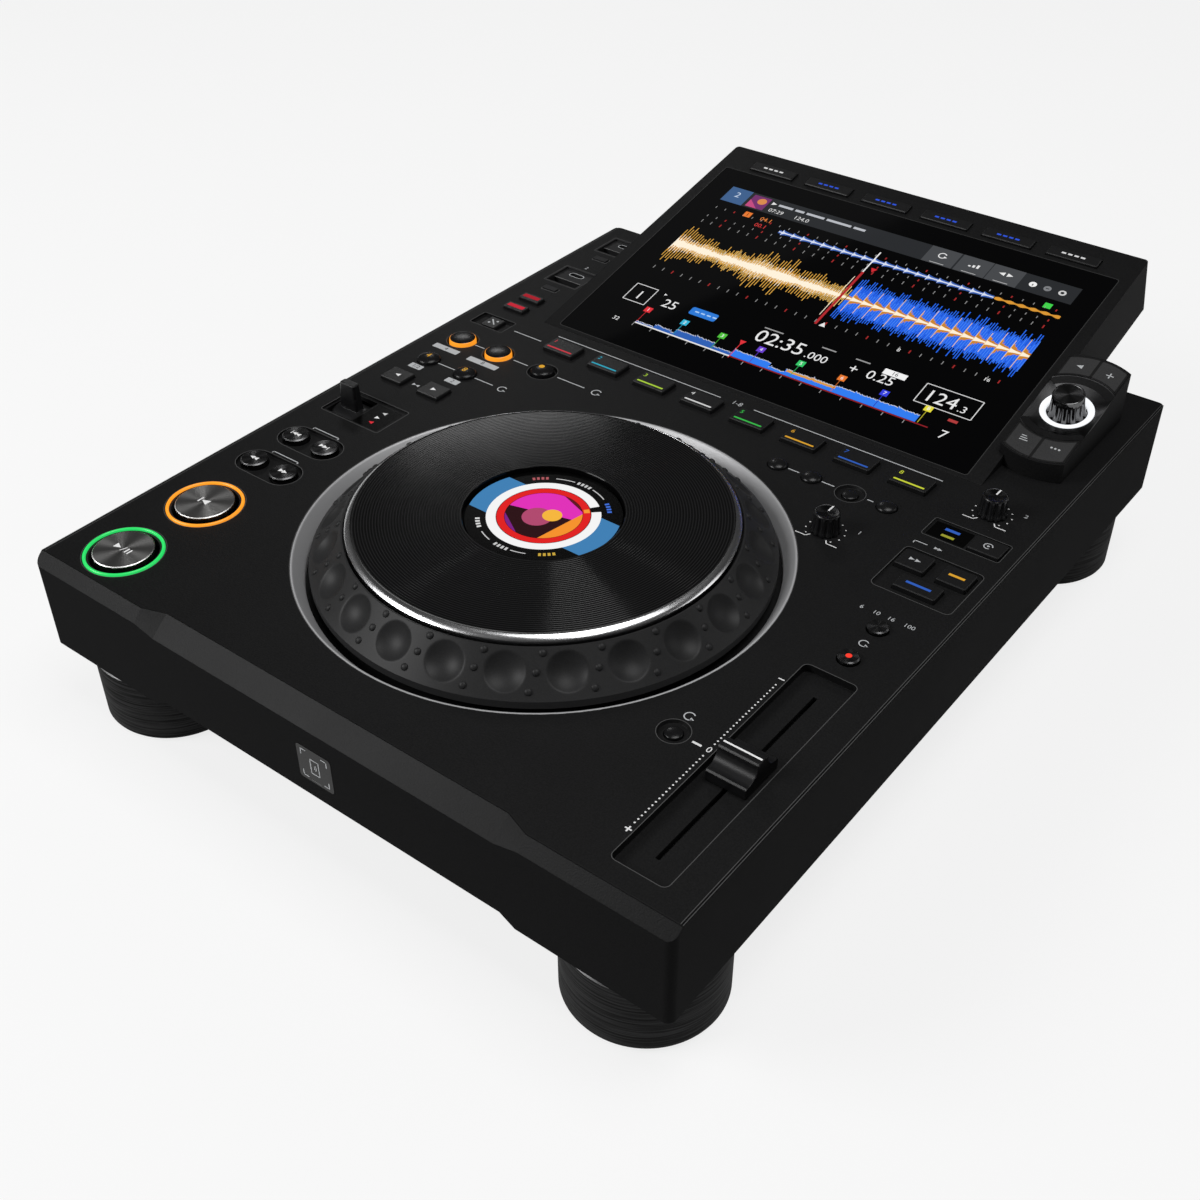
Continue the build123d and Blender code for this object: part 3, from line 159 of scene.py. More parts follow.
class Finish:
    """A material with one Principled shader. Constants are set on its own sockets."""

    def __init__(self, name, color=(0.5, 0.5, 0.5), roughness=0.5, **sockets):
        self.material = bpy.data.materials.new(name)
        self.material.use_nodes = True
        self.tree = self.material.node_tree
        self.shader = self.tree.nodes["Principled BSDF"]
        self.set(Base_Color=color, Roughness=roughness, **sockets)

    def set(self, **sockets):
        """Sets or links shader sockets: Base_Color=..., Coat_Weight=... A colour has three numbers."""
        for name, value in sockets.items():
            self.feed(self.shader.inputs[name.replace("_", " ")], value)
        return self

    def feed(self, socket, value):
        if isinstance(value, Wire):
            self.tree.links.new(value.socket, socket)
        elif socket.type == "RGBA":
            socket.default_value = (*value, 1.0)
        else:
            socket.default_value = value

    def node(self, kind, settings=(), inputs=(), output=0):
        """Adds a node: settings first, such as a Math node's operation, then its sockets."""
        made = self.tree.nodes.new(kind)
        for name, value in dict(settings).items():
            setattr(made, name, value)
        for name, value in dict(inputs).items():
            self.feed(made.inputs[name], value)
        return Wire(self, made.outputs[output])

    def place(self):
        """Object coordinates, in metres."""
        return self.node("ShaderNodeTexCoord", output="Object")

    def noise(self, size, detail=2.0, rough=0.5, at=None):
        """Soft noise from 0 to 1 whose lumps are about size millimetres across."""
        inputs = {"Vector": at or self.place(), "Scale": 1 / (size * MM)}
        return self.node("ShaderNodeTexNoise", {}, inputs | {"Detail": detail, "Roughness": rough})

    def tint(self):
        """The colour that a printed piece carries on each of its faces."""
        return self.node("ShaderNodeAttribute", {"attribute_name": "tint"}, output="Color")

    def relief(self, height, depth, rounded=0.0):
        """Bumps of so many millimetres from a 0 to 1 height. rounded softens hard edges to the eye."""
        inputs = {"Height": height, "Distance": depth * MM}
        if rounded:
            inputs["Normal"] = self.node("ShaderNodeBevel", {"samples": 4}, {"Radius": rounded * MM})
        return self.set(Normal=self.node("ShaderNodeBump", {}, inputs))


print("shader helpers ready")

# %% [markdown]
# ## Finishes
# A black product is mostly made of differences in gloss. The case and the deck plate are moulded and
# painted with a fine spark-eroded grain, the keys are smoother, the grip of the wheel is soft paint,
# and only the glass is bright. Each finish here starts from the size of its real grain.


# %% Moulded plastics
def grey(level, blue=0.0):
    """A grey as linear light, with a little more blue, as black plastic has."""
    return (level, level, level + blue)


def moulded(
    name, color, roughness, grain=0.55, depth=0.035, spread=0.08, edge=0.35, specular=0.35, walls=None
):
    """Grained plastic: two noises, one the size of the grain for the bumps, one of a few centimetres
    that makes the gloss drift a little from place to place, as handling does. Where walls is given,
    upright faces have that roughness, because a mould's walls are etched coarser than its floor."""
    finish = Finish(name, color, roughness, Specular_IOR_Level=specular)
    fine = finish.noise(grain, 3.0, 0.6)
    drift = finish.noise(45.0, 3.0)
    gloss = (drift - 0.5) * spread + (fine - 0.5) * 0.12
    if walls is None:
        finish.set(Roughness=gloss + roughness)
    else:
        normal = finish.node("ShaderNodeNewGeometry", output="True Normal")
        up = finish.node("ShaderNodeSeparateXYZ", {}, {0: normal}, "Z")
        finish.set(Roughness=gloss + walls - up.ramp(0.2, 0.6) * (walls - roughness))
    tone = fine.ramp(0.35, 0.65) * 0.6 + drift * 0.4
    finish.set(Base_Color=tone.blend(tuple(c * 0.65 for c in color), tuple(c * 1.4 for c in color)))
    return finish.relief(fine, depth, edge)


def smooth(name, color, roughness, depth, edge=0.0, specular=0.35):
    """The finer plastic of a small part: grain of 0.4 mm and so deep, and a gloss that drifts less."""
    return moulded(name, color, roughness, 0.4, depth, 0.05, edge, specular)


case_black = moulded("case_black", grey(0.0052, 0.0002), 0.42, 0.7, 0.07, specular=0.1, walls=0.95)
deck_black = moulded("deck_black", grey(0.0078, 0.0002), 0.48, 0.7, 0.09, specular=0.125)
housing_black = moulded("housing_black", grey(0.0075, 0.0002), 0.46, 0.7, 0.07, specular=0.11, walls=0.8)
socket_black = moulded("socket_black", grey(0.012, 0.0005), 0.55, 0.5, 0.02)
soft_grip = moulded("soft_grip", grey(0.02, 0.0004), 0.46, 0.3, 0.008, edge=0.0, specular=0.2)
rubber = moulded("rubber", grey(0.018), 0.75, 0.5, 0.02, 0.05, edge=0.0, specular=0.2)
board_green = moulded("board_green", (0.01, 0.06, 0.025), 0.45)
key_black = smooth("key_black", grey(0.0095, 0.0003), 0.36, 0.012, 0.3, 0.2)
key_grey = smooth("key_grey", grey(0.032, 0.0005), 0.42, 0.015, 0.3, 0.3)
key_gloss = smooth("key_gloss", grey(0.007, 0.0004), 0.26, 0.003, specular=0.28)
lever_black = smooth("lever_black", grey(0.006, 0.0005), 0.34, 0.01, 0.4)
knob_black = smooth("knob_black", grey(0.007, 0.0005), 0.3, 0.008, specular=0.45)
pad_black = smooth("pad_black", grey(0.003), 0.25, 0.002, specular=0.15)
window_black = smooth("window_black", grey(0.0018), 0.3, 0.001, specular=0.03)
print("moulded finishes ready")


# %% Metals
def turned(name, color, roughness, anisotropic=0.6, grain=0.25, depth=0.004, metallic=1.0):
    """Metal turned on a lathe: a noise drawn out round the axis would need the axis in the shader, so
    fine noise scratches the gloss and the anisotropy, which runs round each piece, stretches the light."""
    finish = Finish(name, color, roughness, Metallic=metallic, Anisotropic=anisotropic)
    scratches = finish.noise(grain, 2.0, 0.7)
    cloud = finish.noise(14.0, 2.0)
    finish.set(Roughness=roughness + (scratches - 0.5) * (0.45 * roughness) + (cloud - 0.5) * 0.05)
    finish.set(Base_Color=scratches.blend(tuple(c * 0.8 for c in color), color))
    return finish.relief(scratches, depth)


polished_silver = turned("polished_silver", grey(0.78, 0.01), 0.2, depth=0.0006)
satin_silver = turned("satin_silver", grey(0.62, 0.01), 0.55, 0.0, metallic=0.6)
spun_gunmetal = turned("spun_gunmetal", (0.58, 0.575, 0.565), 0.3, 0.85)
black_metal = turned("black_metal", grey(0.022, 0.001), 0.34)
cut_edge = turned("cut_edge", grey(0.16, 0.002), 0.35)
key_disc = turned("key_disc", grey(0.11, 0.002), 0.25, 0.85)
knob_spun = turned("knob_spun", grey(0.06, 0.001), 0.26, 0.85)
dish_metal = turned("dish_metal", grey(0.06, 0.001), 0.3, 0.9)
dark_chrome = turned("dark_chrome", grey(0.13, 0.002), 0.12, 0.2, depth=0.002)
tin_plate = turned("tin_plate", (0.6, 0.58, 0.52), 0.25)
# Painted metal: the paint isn't a mirror, and each has its own lines, which are added with the piece. The
# plate's lines carry a painted sheen in its grooves.
plate_black_sheen = turned("plate_black_sheen", grey(0.004, 0.0002), 0.12, 0.2, 0.6, 0.001, metallic=0.0)
foot_black = turned("foot_black", grey(0.006, 0.0002), 0.85, 0.0, 0.4, 0.003, metallic=0.0)
print("metals ready")


# %% Glass, lamps and print
def smeared(finish):
    """Glass under fingers: soft stains a few centimetres wide raise its roughness a little."""
    return finish.set(Roughness=0.045 + finish.noise(30.0, 4.0, 0.6).ramp(0.45, 0.75) * 0.05)


def lamp(name, color, strength):
    """A lit light pipe: its plastic is tinted too, and a slow noise keeps it from looking printed."""
    finish = Finish(name, tuple(c * 0.5 for c in color), 0.3, Emission_Strength=strength)
    cloud = finish.noise(6.0, 2.0)
    return finish.set(Emission_Color=cloud.blend(tuple(c * 0.8 for c in color), color))


green_lamp = lamp("green_lamp", (0.02, 0.62, 0.12), 1.0)
orange_lamp = lamp("orange_lamp", (0.95, 0.32, 0.02), 1.0)
white_lamp = lamp("white_lamp", (0.9, 0.92, 0.95), 0.9)
glass_black = smeared(Finish("glass_black", grey(0.0006, 0.0002), Specular_IOR_Level=0.3))
lit = smeared(Finish("lit", grey(0.004), Emission_Strength=1.0, Specular_IOR_Level=0.3))
lit.set(Emission_Color=lit.tint())
lit_mark = Finish("lit_mark", grey(0.003), Emission_Strength=1.0, Specular_IOR_Level=0.04)
lit_mark.set(Emission_Color=lit_mark.tint(), Roughness=0.45 + lit_mark.noise(1.0, 2.0) * 0.15)
printed = Finish("printed", Specular_IOR_Level=0.3)
printed.set(Base_Color=printed.tint(), Roughness=0.4 + printed.noise(0.8, 2.0) * 0.25)
print("glass, lamps and print ready")

# %% [markdown]
# ## Which CAD node gets which finish
# Most pieces keep their CAD shape: their walls, edges and seams are already right, so they only need
# a better material. All are keys of black plastic, but for those in this table and for the turned
# pieces, which are made anew further down and hide their nodes.

# %% Finishes of the CAD nodes
FINISH_OF = {
    "lower_case": case_black,
    "top_panel": deck_black,
    "reader_pad": pad_black,
    "main_board": board_green,
    "screen_housing": housing_black,
    "touch_display": glass_black,
    "browser_block": housing_black,
    "browser_keys": key_grey,
    "jog_bearing": black_metal,
    "jog_display": window_black,
    "fader_track": socket_black,
    "memory_bays": socket_black,
    "rear_sockets": socket_black,
    "direction_lever": lever_black,
    "tempo_fader": lever_black,
}
for name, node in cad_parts.items():
    for slot in node.material_slots:
        slot.material = FINISH_OF.get(name, key_black).material
print("finishes for", len(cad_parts), "nodes;", sorted(set(FINISH_OF) - set(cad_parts)), "unknown")

# %% [markdown]
# ## Surfaces worked out as arrays
# The round parts of a deck are turned shapes, and a turned shape is a formula: a profile of radius and
# height, carried round an axis. Blender's Screw modifier or bmesh.ops.spin could do it too, but with
# the whole surface as one array, a groove, a flute or a finger dimple is one more term in the sum.
# What comes out is a `Shape`: points in millimetres on some place, and the faces between them.


# %% Shapes and pieces
def hue(code, level=1.0):
    """A screen colour such as 'f49a1f' as linear light: ((c + 0.055) / 1.055) to the power 2.4."""
    parts = np.array([int(code[i : i + 2], 16) / 255 for i in (0, 2, 4)])
    linear = np.where(parts <= 0.04045, parts / 12.92, ((parts + 0.055) / 1.055) ** 2.4)
    return tuple(float(part) for part in linear * level)


class Shape:
    """Points in millimetres (across, along, out), faces as rows of point numbers, and one tint, which
    is a screen colour's code or linear light."""

    def __init__(self, points, faces, tint=(0.0, 0.0, 0.0)):
        self.points, self.faces = np.asarray(points, float), faces
        self.tint = hue(tint) if isinstance(tint, str) else tint

    def moved(self, across, along, out=0.0):
        return Shape(self.points + (across, along, out), self.faces, self.tint)


def around(radius, height, angle):
    """The points (radius cos a, radius sin a, height) for every angle a, as one array."""
    return np.stack(np.broadcast_arrays(radius * np.cos(angle), radius * np.sin(angle), height), -1)


def rings(profile, turns):
    """Every profile point (radius, height) carried round the axis, as an array (rows, turns, 3)."""
    angle = np.linspace(0, 2 * pi, turns, endpoint=False)
    radius, height = np.array(profile, float).T[:, :, None]
    return around(radius, height, angle)


def skin(rows):
    """Closes rings (rows, turns, 3) into quads from row to row and right round."""
    count, turns = rows.shape[:2]
    row, turn = np.meshgrid(np.arange(count - 1) * turns, np.arange(turns), indexing="ij")
    right = (turn + 1) % turns
    corners = (row + turn, row + turns + turn, row + turns + right, row + right)
    return Shape(rows.reshape(-1, 3), np.stack(corners, -1).reshape(-1, 4).tolist())


def lathe(profile, turns=96):
    """A turned surface. The profile runs outwards over the top and then down, which turns its faces
    outwards."""
    return skin(rings(profile, turns))


def piece(name, body, place, shapes, finish, stands_for=(), sharp=32.0):
    """Joins shapes on a place into one object. Its faces carry their tint, its doubled points are
    merged, and edges sharper than so many degrees stay sharp."""
    firsts = np.cumsum([0] + [len(shape.points) for shape in shapes])
    points = place.world(np.concatenate([shape.points for shape in shapes]))
    faces = [[first + n for n in face] for first, shape in zip(firsts, shapes) for face in shape.faces]
    mesh = bpy.data.meshes.new(name)
    mesh.from_pydata(points, [], faces)
    tints = np.repeat([(*shape.tint, 1.0) for shape in shapes], [len(shape.faces) for shape in shapes], 0)
    mesh.attributes.new("tint", "FLOAT_COLOR", "FACE").data.foreach_set("color", tints.ravel())
    merge_doubles(mesh)
    mesh.shade_smooth()
    mesh.set_sharp_from_angle(angle=radians(sharp))
    mesh.materials.append(finish.material)
    made = bpy.data.objects.new(name, mesh)
    bpy.context.scene.collection.objects.link(made)
    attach(made, body)
    if stands_for:
        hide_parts(*stands_for)
    return made


def merge_doubles(mesh, distance=1e-7):
    """Merges points that lie on each other, such as a turned shape's pole."""
    work = bmesh.new()
    work.from_mesh(mesh)
    bmesh.ops.remove_doubles(work, verts=work.verts, dist=distance)
    work.to_mesh(mesh)
    work.free()


print("shape helpers ready")

# %% [markdown]
# ## Flat marks
# Print, lamps behind a mask and the picture on a display are all flat figures on a face. They could be
# painted by the shader, but as thin geometry they stay sharp at any distance, and one colour per face
# is enough. The helpers make patches, lines, arcs and plain numbers, all facing out of their place.


# %% Patches, lines, arcs and numbers
WHITE = "e8e8e8"
PALE = "b9bbbd"


def patch(outline, tint=WHITE, out=0.0):
    """A flat face inside an outline given counter-clockwise."""
    outline = np.asarray(outline, float)
    points = np.column_stack([outline, np.full(len(outline), out)])
    return Shape(points, [list(range(len(outline)))], tint)


def box_patch(x1, y1, x2, y2, tint=WHITE, out=0.0):
    """An upright rectangle between any two opposite corners."""
    (low_x, high_x), (low_y, high_y) = sorted((x1, x2)), sorted((y1, y2))
    return patch([(low_x, low_y), (high_x, low_y), (high_x, high_y), (low_x, high_y)], tint, out)


def boxes(rows, out=0.0):
    """A rectangle for each row (x1, y1, x2, y2, tint). A sixth number in a row lifts it further."""
    return [box_patch(*row[:5], out + sum(row[5:])) for row in rows]


def rounded(half_x, half_y, corner, steps=6):
    """A rounded rectangle: in each quarter the corner's centre plus corner * (cos a, sin a)."""
    quarter = np.repeat(np.arange(4), steps)
    angle = (quarter + np.tile(np.linspace(0, 1, steps), 4)) * pi / 2
    side = np.array([(1, 1), (-1, 1), (-1, -1), (1, -1)])[quarter]
    return side * (half_x - corner, half_y - corner) + corner * np.stack([np.cos(angle), np.sin(angle)], -1)


def dot(x, y, radius, tint=WHITE, out=0.0, steps=14):
    angle = np.linspace(0, 2 * pi, steps, endpoint=False)
    return patch(np.stack([x + radius * np.cos(angle), y + radius * np.sin(angle)], -1), tint, out)


def arc(inner, outer, start, end, tint=WHITE, out=0.0):
    """A part of a flat ring between two angles in degrees."""
    angle = np.radians(np.linspace(start, end, max(3, int(abs(end - start) / 4) + 2)))
    radius = np.array([[inner], [outer]])
    grid = around(radius, out, angle)
    count = len(angle)
    faces = [[n, count + n, count + n + 1, n + 1] for n in range(count - 1)]
    return Shape(grid.reshape(-1, 3), faces, tint)


def line(start, end, width, tint=WHITE, out=0.0):
    """A straight stroke: its ends plus and minus half its width to the side."""
    start, end = np.array(start, float), np.array(end, float)
    run = end - start
    side = np.array([run[1], -run[0]]) / np.hypot(*run) * width / 2
    return patch([start + side, end + side, end - side, start - side], tint, out)


def outline_box(low_x, low_y, high_x, high_y, width, tint=WHITE, out=0.0):
    corners = [(low_x, low_y), (high_x, low_y), (high_x, high_y), (low_x, high_y)]
    return [line(start, end, width, tint, out) for start, end in zip(corners, corners[1:] + corners[:1])]


def trim(half_x, half_y, corner, tint, width=0.32, out=0.03):
    """The strip between a rounded rectangle and the same one drawn larger: a painted highlight along a
    recess's edge.
    """
    loops = [rounded(half_x, half_y, corner), rounded(half_x + width, half_y + width, corner + width)]
    count = len(loops[0])
    points = np.column_stack([np.concatenate(loops), np.full(2 * count, out)])
    following = [(n + 1) % count for n in range(count)]
    return Shape(points, [[n, count + n, count + m, m] for n, m in enumerate(following)], tint)


def figures(text, x, y, height, tint=WHITE, out=0.0, align="CENTER"):
    """Plain numbers whose digits are so many millimetres high, from Blender's own font."""
    curve = bpy.data.curves.new("figures", "FONT")
    curve.body, curve.align_x, curve.align_y = text, align, "CENTER"
    curve.size = height / 0.69
    curve.resolution_u = 3
    carrier = bpy.data.objects.new("figures", curve)
    mesh = bpy.data.meshes.new_from_object(carrier)
    points = np.zeros(len(mesh.vertices) * 3)
    mesh.vertices.foreach_get("co", points)
    faces = [list(polygon.vertices) for polygon in mesh.polygons]
    bpy.data.objects.remove(carrier)
    bpy.data.curves.remove(curve)
    bpy.data.meshes.remove(mesh)
    return Shape(points.reshape(-1, 3) + (x, y, out), faces, tint)


def numbers(rows, out=0.0, align="CENTER"):
    """Figures for each row (text, x, y, height, tint). A sixth number in a row lifts them further."""
    return [figures(*row[:5], out + sum(row[5:]), align) for row in rows]


def arrow(x, y, size, way=1, tint=WHITE, out=0.0):
    """A triangle that points right, or left where way is -1."""
    tip, tail = x + way * size / 2, x - way * size / 2
    ends = [(tail, y - size * 0.45), (tip, y), (tail, y + size * 0.45)]
    return patch(ends[::way], tint, out)


print("flat marks ready")

# %% [markdown]
# ## Jog wheel
# The wheel is a turned metal plate in a soft grip. The plate's face is cut with fine concentric
# grooves, which the CAD model leaves out, and its edge is polished. The grip's cone has 24 finger
# dimples: each is the cap of a ball, so its depth at a distance d from its middle is
# sqrt(R*R - d*d) - sqrt(R*R - rim*rim), and a soft maximum with zero rounds its rim over.

# %% Jog plate
JOG = DECK.moved(0.0, 136.7)
PLATE_UNDER = 13.9
PLATE_TOP = 16.4
PLATE_HOLE = 33.9
PLATE_FACE = 79.6
PLATE_EDGE = 82.2
GROOVE_START = PLATE_HOLE + 0.9
GROOVE_PITCH = 1.2
GROOVE_DEPTH = 0.1


def grooved_profile():
    """Lands with a narrow groove between them, repeated at each pitch from the hole to the edge."""
    start = np.arange(GROOVE_START, PLATE_FACE - 1.0, GROOVE_PITCH)[:, None]
    radius = start + np.array([0.0, 0.4, 0.6, 0.8]) * GROOVE_PITCH
    height = PLATE_TOP + np.array([0.0, 0.0, -1.0, -1.0]) * GROOVE_DEPTH + 0 * start
    return list(zip(radius.ravel(), height.ravel()))


def darken_lands():
    """Paints a sheen into the grooves, lighter than the lands, for the light their walls would catch:
    the distance from the axis, in pitches, says where in its groove each point lies."""
    axis = tuple(part * MM for part in (*JOG.origin[:2], JOG.origin[2] + PLATE_TOP))
    from_axis = {0: plate_black_sheen.place(), 1: axis}
    reach = plate_black_sheen.node("ShaderNodeVectorMath", {"operation": "DISTANCE"}, from_axis, "Value")
    turn = (reach / (GROOVE_PITCH * MM) - GROOVE_START / GROOVE_PITCH).math("FRACT")
    cut = turn.ramp(0.4, 0.55) * (1 - turn.ramp(0.85, 1.0))
    # The grooves' lighter grey is a painted sheen, not a different finish of the plate.
    plate_black_sheen.set(Base_Color=cut.blend(grey(0.0028, 0.0002), grey(0.013, 0.0002)), Specular_IOR_Level=0.16)


plate_profile = [
    (PLATE_HOLE, PLATE_UNDER), (PLATE_HOLE, PLATE_TOP - 0.25), (PLATE_HOLE + 0.25, PLATE_TOP),
    *grooved_profile(), (PLATE_FACE, PLATE_TOP), (PLATE_FACE, PLATE_UNDER), (PLATE_HOLE, PLATE_UNDER),
]
edge_profile = [
    (PLATE_FACE, PLATE_UNDER), (PLATE_FACE, PLATE_TOP - 0.12), (PLATE_FACE + 0.1, PLATE_TOP - 0.02),
    (79.95, PLATE_TOP - 0.06), (81.9, 14.95), (PLATE_EDGE, 14.6), (PLATE_EDGE, 12.0), (79.8, 12.0),
    (PLATE_FACE, PLATE_UNDER),
]
darken_lands()
plate, edge = lathe(plate_profile, 220), lathe(edge_profile, 220)
piece("jog_plate_face", "jog_wheel", JOG, [plate], plate_black_sheen, ["jog_plate"], 10)
piece("jog_plate_edge", "jog_wheel", JOG, [edge], polished_silver, (), 40)
print("jog plate with", len(plate_profile), "profile points")

# %% Jog grip
GRIP_TOP = (83.9, 13.3)
GRIP_FOOT = (98.4, -1.0)
DIMPLE_COUNT = 24
DIMPLE_RADIUS = 90.6
DIMPLE_RIM = 7.9
DIMPLE_BALL = 13.0
DIMPLE_SOFTNESS = 0.14
GRIP_TURNS = DIMPLE_COUNT * 42
GRIP_ROWS = 62
NUB_ROWS = (85.3, 90.5, 95.7)
NUB_LEAN = 1.7
NUB_PROFILE = [(0.0, 0.85), (0.6, 0.8), (1.1, 0.62), (1.45, 0.3), (1.55, -0.15)]

cone_run = np.subtract(GRIP_FOOT, GRIP_TOP)
cone_run /= np.hypot(*cone_run)
cone_out = np.array([-cone_run[1], cone_run[0]])


def on_cone(radius, degrees, lift=0.0):
    """A point on the grip's cone at a radius and an angle, lifted along the cone's normal."""
    height = GRIP_TOP[1] + (radius - GRIP_TOP[0]) * cone_run[1] / cone_run[0]
    return around(radius + lift * cone_out[0], height + lift * cone_out[1], np.radians(degrees))


def dimpled_cone():
    """The cone as rows of points, each lowered by the depth of the nearest dimple."""
    degrees = np.linspace(0, 360, GRIP_TURNS, endpoint=False)[None, :]
    radius = np.linspace(GRIP_TOP[0], GRIP_FOOT[0], GRIP_ROWS)[:, None]
    step = 360 / DIMPLE_COUNT
    middle = on_cone(DIMPLE_RADIUS, np.round(degrees / step) * step)
    distance = np.linalg.norm(on_cone(radius, degrees) - middle, axis=-1)
    ball = np.sqrt(DIMPLE_BALL**2 - np.minimum(distance, DIMPLE_BALL * 0.99) ** 2)
    depth = ball - np.sqrt(DIMPLE_BALL**2 - DIMPLE_RIM**2)
    return on_cone(radius, degrees, -(depth + np.sqrt(depth**2 + DIMPLE_SOFTNESS**2)) / 2)


def grip_shape():
    """Hub, web, dimpled cone and skirt as one closed turned shape."""
    inside = [(24.1, -6.0), (24.1, 9.0), (83.0, 9.0), (83.0, 13.0), (83.25, GRIP_TOP[1])]
    under = [(98.4, -4.3), (98.2, -4.5), (92.9, -4.5), (80.5, 6.0), (30, 6.0), (30, -6.0), (24.1, -6.0)]
    return skin(np.concatenate([rings(inside, GRIP_TURNS), dimpled_cone(), rings(under, GRIP_TURNS)]))


def nub_shapes():
    """Small domes in three leaning rows between the dimples, each standing along the cone's normal."""
    dome = lathe(NUB_PROFILE, 16)
    shapes = []
    for row, radius in enumerate(NUB_ROWS):
        for degrees in (np.arange(DIMPLE_COUNT) + 0.5) * 360 / DIMPLE_COUNT + NUB_LEAN * (1 - row):
            base = on_cone(radius, degrees)
            out = on_cone(radius, degrees, 1.0) - base
            side = np.array([-sin(radians(degrees)), cos(radians(degrees)), 0.0])
            axes = np.array([np.cross(side, out), side, out])
            shapes.append(Shape(dome.points @ axes + base, dome.faces))
    return shapes


piece("jog_grip", "jog_wheel", JOG, [grip_shape()], soft_grip, ["jog_ring"], 30)
piece("jog_nubs", "jog_wheel", JOG, nub_shapes(), soft_grip, (), 60)
print("grip with", GRIP_TURNS * GRIP_ROWS, "points on its cone")

# %% [markdown]
# ## Well ring and feet
# The ring round the well is a wide funnel of satin metal with a rounded lip. A foot is a matt black
# drum with the fine lines of its turning; its upper edge was cut again after painting, so a bare
# chamfer shows. It stands on a rubber disc that is slightly smaller than the drum.

# %% Well ring and feet
well_profile = [
    (100.5, -9.6), (100.5, -6.6), (100.7, -6.3), (104.7, -0.55), (105.1, -0.12), (105.5, 0.0),
    (105.9, -0.1), (105.95, -9.6), (100.5, -9.6),
]
piece("well_ring", "deck", JOG, [lathe(well_profile, 256)], satin_silver, ["jog_well_ring"], 40)

FLOOR = Place((0, FRONT_Y, 0), (1, 0, 0), (0, 1, 0))
FOOT_PLACES = [(x, back) for x in (-130.4, 130.4) for back in (33.1, 371.6)]
FOOT_RADIUS = 32.1
FOOT_TOP = 33.6
LINE_LENGTH = 50
drum_profile = [
    (0, 35.1), (25.0, 35.1), (25.0, FOOT_TOP), (30.7, FOOT_TOP), (30.75, 32.2), (FOOT_RADIUS, 32.2),
    (FOOT_RADIUS, 2.4), (31.7, 1.6), (31.0, 1.3), (0, 1.3),
]
chamfer_profile = [
    (30.7, 33.0), (30.7, FOOT_TOP), (30.85, FOOT_TOP + 0.05), (32.15, 32.35), (32.15, 32.2), (30.7, 32.2),
]
rubber_profile = [(0, 1.4), (30.2, 1.4), (30.6, 1.1), (30.6, 0.3), (30.2, 0.0), (0, 0.0)]
# Shrinking the coordinates that lie level draws the noise out into lines round the upright drum.
drawn_out = {0: foot_black.place(), 1: (1 / LINE_LENGTH, 1 / LINE_LENGTH, 1.0)}
drawn_out = foot_black.node("ShaderNodeVectorMath", {"operation": "MULTIPLY"}, drawn_out)
turning_lines = foot_black.noise(0.6, 2.0, 0.7, at=drawn_out).ramp(0.35, 0.65)
foot_black.set(Base_Color=turning_lines.blend(grey(0.004), grey(0.036, 0.0005)), Specular_IOR_Level=0.1)
for number, (x, back) in enumerate(FOOT_PLACES, 1):
    name, spot = f"foot_{number}_", FLOOR.moved(x, back)
    piece(name + "drum", "deck", spot, [lathe(drum_profile, 128)], foot_black, ["feet"], 30)
    piece(name + "chamfer", "deck", spot, [lathe(chamfer_profile, 128)], cut_edge, (), 30)
    piece(name + "rubber", "deck", spot, [lathe(rubber_profile)], rubber, (), 30)
print("feet at", FOOT_PLACES)

# %% [markdown]
# ## Lit rings and round keys
# Play and cue are turned discs in a lit ring. Loop-in and loop-out are small domes, each with a lit
# collar that goes down with the key. The other round keys are domes or small turned discs. The CAD
# model gives the middle and the top of each key, so only its radius and its crown are written here.

# %% Lit rings
ring_profile = [
    (15.6, -3.0), (15.6, 0.15), (15.75, 0.5), (16.1, 0.72), (16.4, 0.74), (16.75, 0.55), (17.0, 0.15),
    (17.0, -3.0), (15.6, -3.0),
]
seat_profile = [(14.7, -4.0), (14.7, -0.35), (17.42, -0.35), (17.42, -4.0), (14.7, -4.0)]
collar_profile = [(5.0, 1.5), (6.5, 1.5), (6.75, 1.3), (6.95, 0.2), (7.0, -0.3), (7.0, -1.6), (5.0, -1.6)]
lip_profile = [(7.95, -3.5), (7.95, -0.2), (8.1, 0.06), (8.26, 0.06), (8.26, -3.5), (7.95, -3.5)]
for name, back, finish in (("play_ring", 25.1, green_lamp), ("cue_ring", 69.1, orange_lamp)):
    place = DECK.moved(-136.0, back)
    piece(name, "deck", place, [lathe(ring_profile, 128)], finish, ["light_rings"], 50)
    piece(name + "_seat", "deck", place, [lathe(seat_profile)], socket_black, (), 30)
for name, x in (("loop_in", -145.1), ("loop_out", -121.1)):
    place, key = DECK.moved(x, 247.6), name + "_key"
    piece(name + "_collar", key, place, [lathe(collar_profile)], orange_lamp, (), 40)
    piece(name + "_lip", "deck", place, [lathe(lip_profile)], socket_black, (), 40)
print("two lit rings and two lit collars")

# %% Round keys
# Radius and bevel of the turned discs, then radius, crown and wall of the domes, and their keys.
DISCS = [
    (12.9, 0.4, "play_key", "cue_key"),
    (4.4, 0.6, "tempo_range_key", "master_tempo_key"),
    (6.3, 0.6, "track_search_back_key", "track_search_forward_key", "search_back_key", "search_forward_key"),
]
DOMES = [
    (5.8, 2.0, 3.5, "beat_loop_4_key", "beat_loop_8_key"),
    (5.9, 2.0, 3.5, "reloop_key"),
    (4.6, 2.0, 3.5, "call_back_key", "call_forward_key", "memory_key"),
    (3.6, 0.9, 3.5, "delete_key"),
    (3.5, 0.9, 3.5, "tempo_reset_key"),
    (6.6, 1.1, 0.15, "loop_in_key", "loop_out_key"),
]


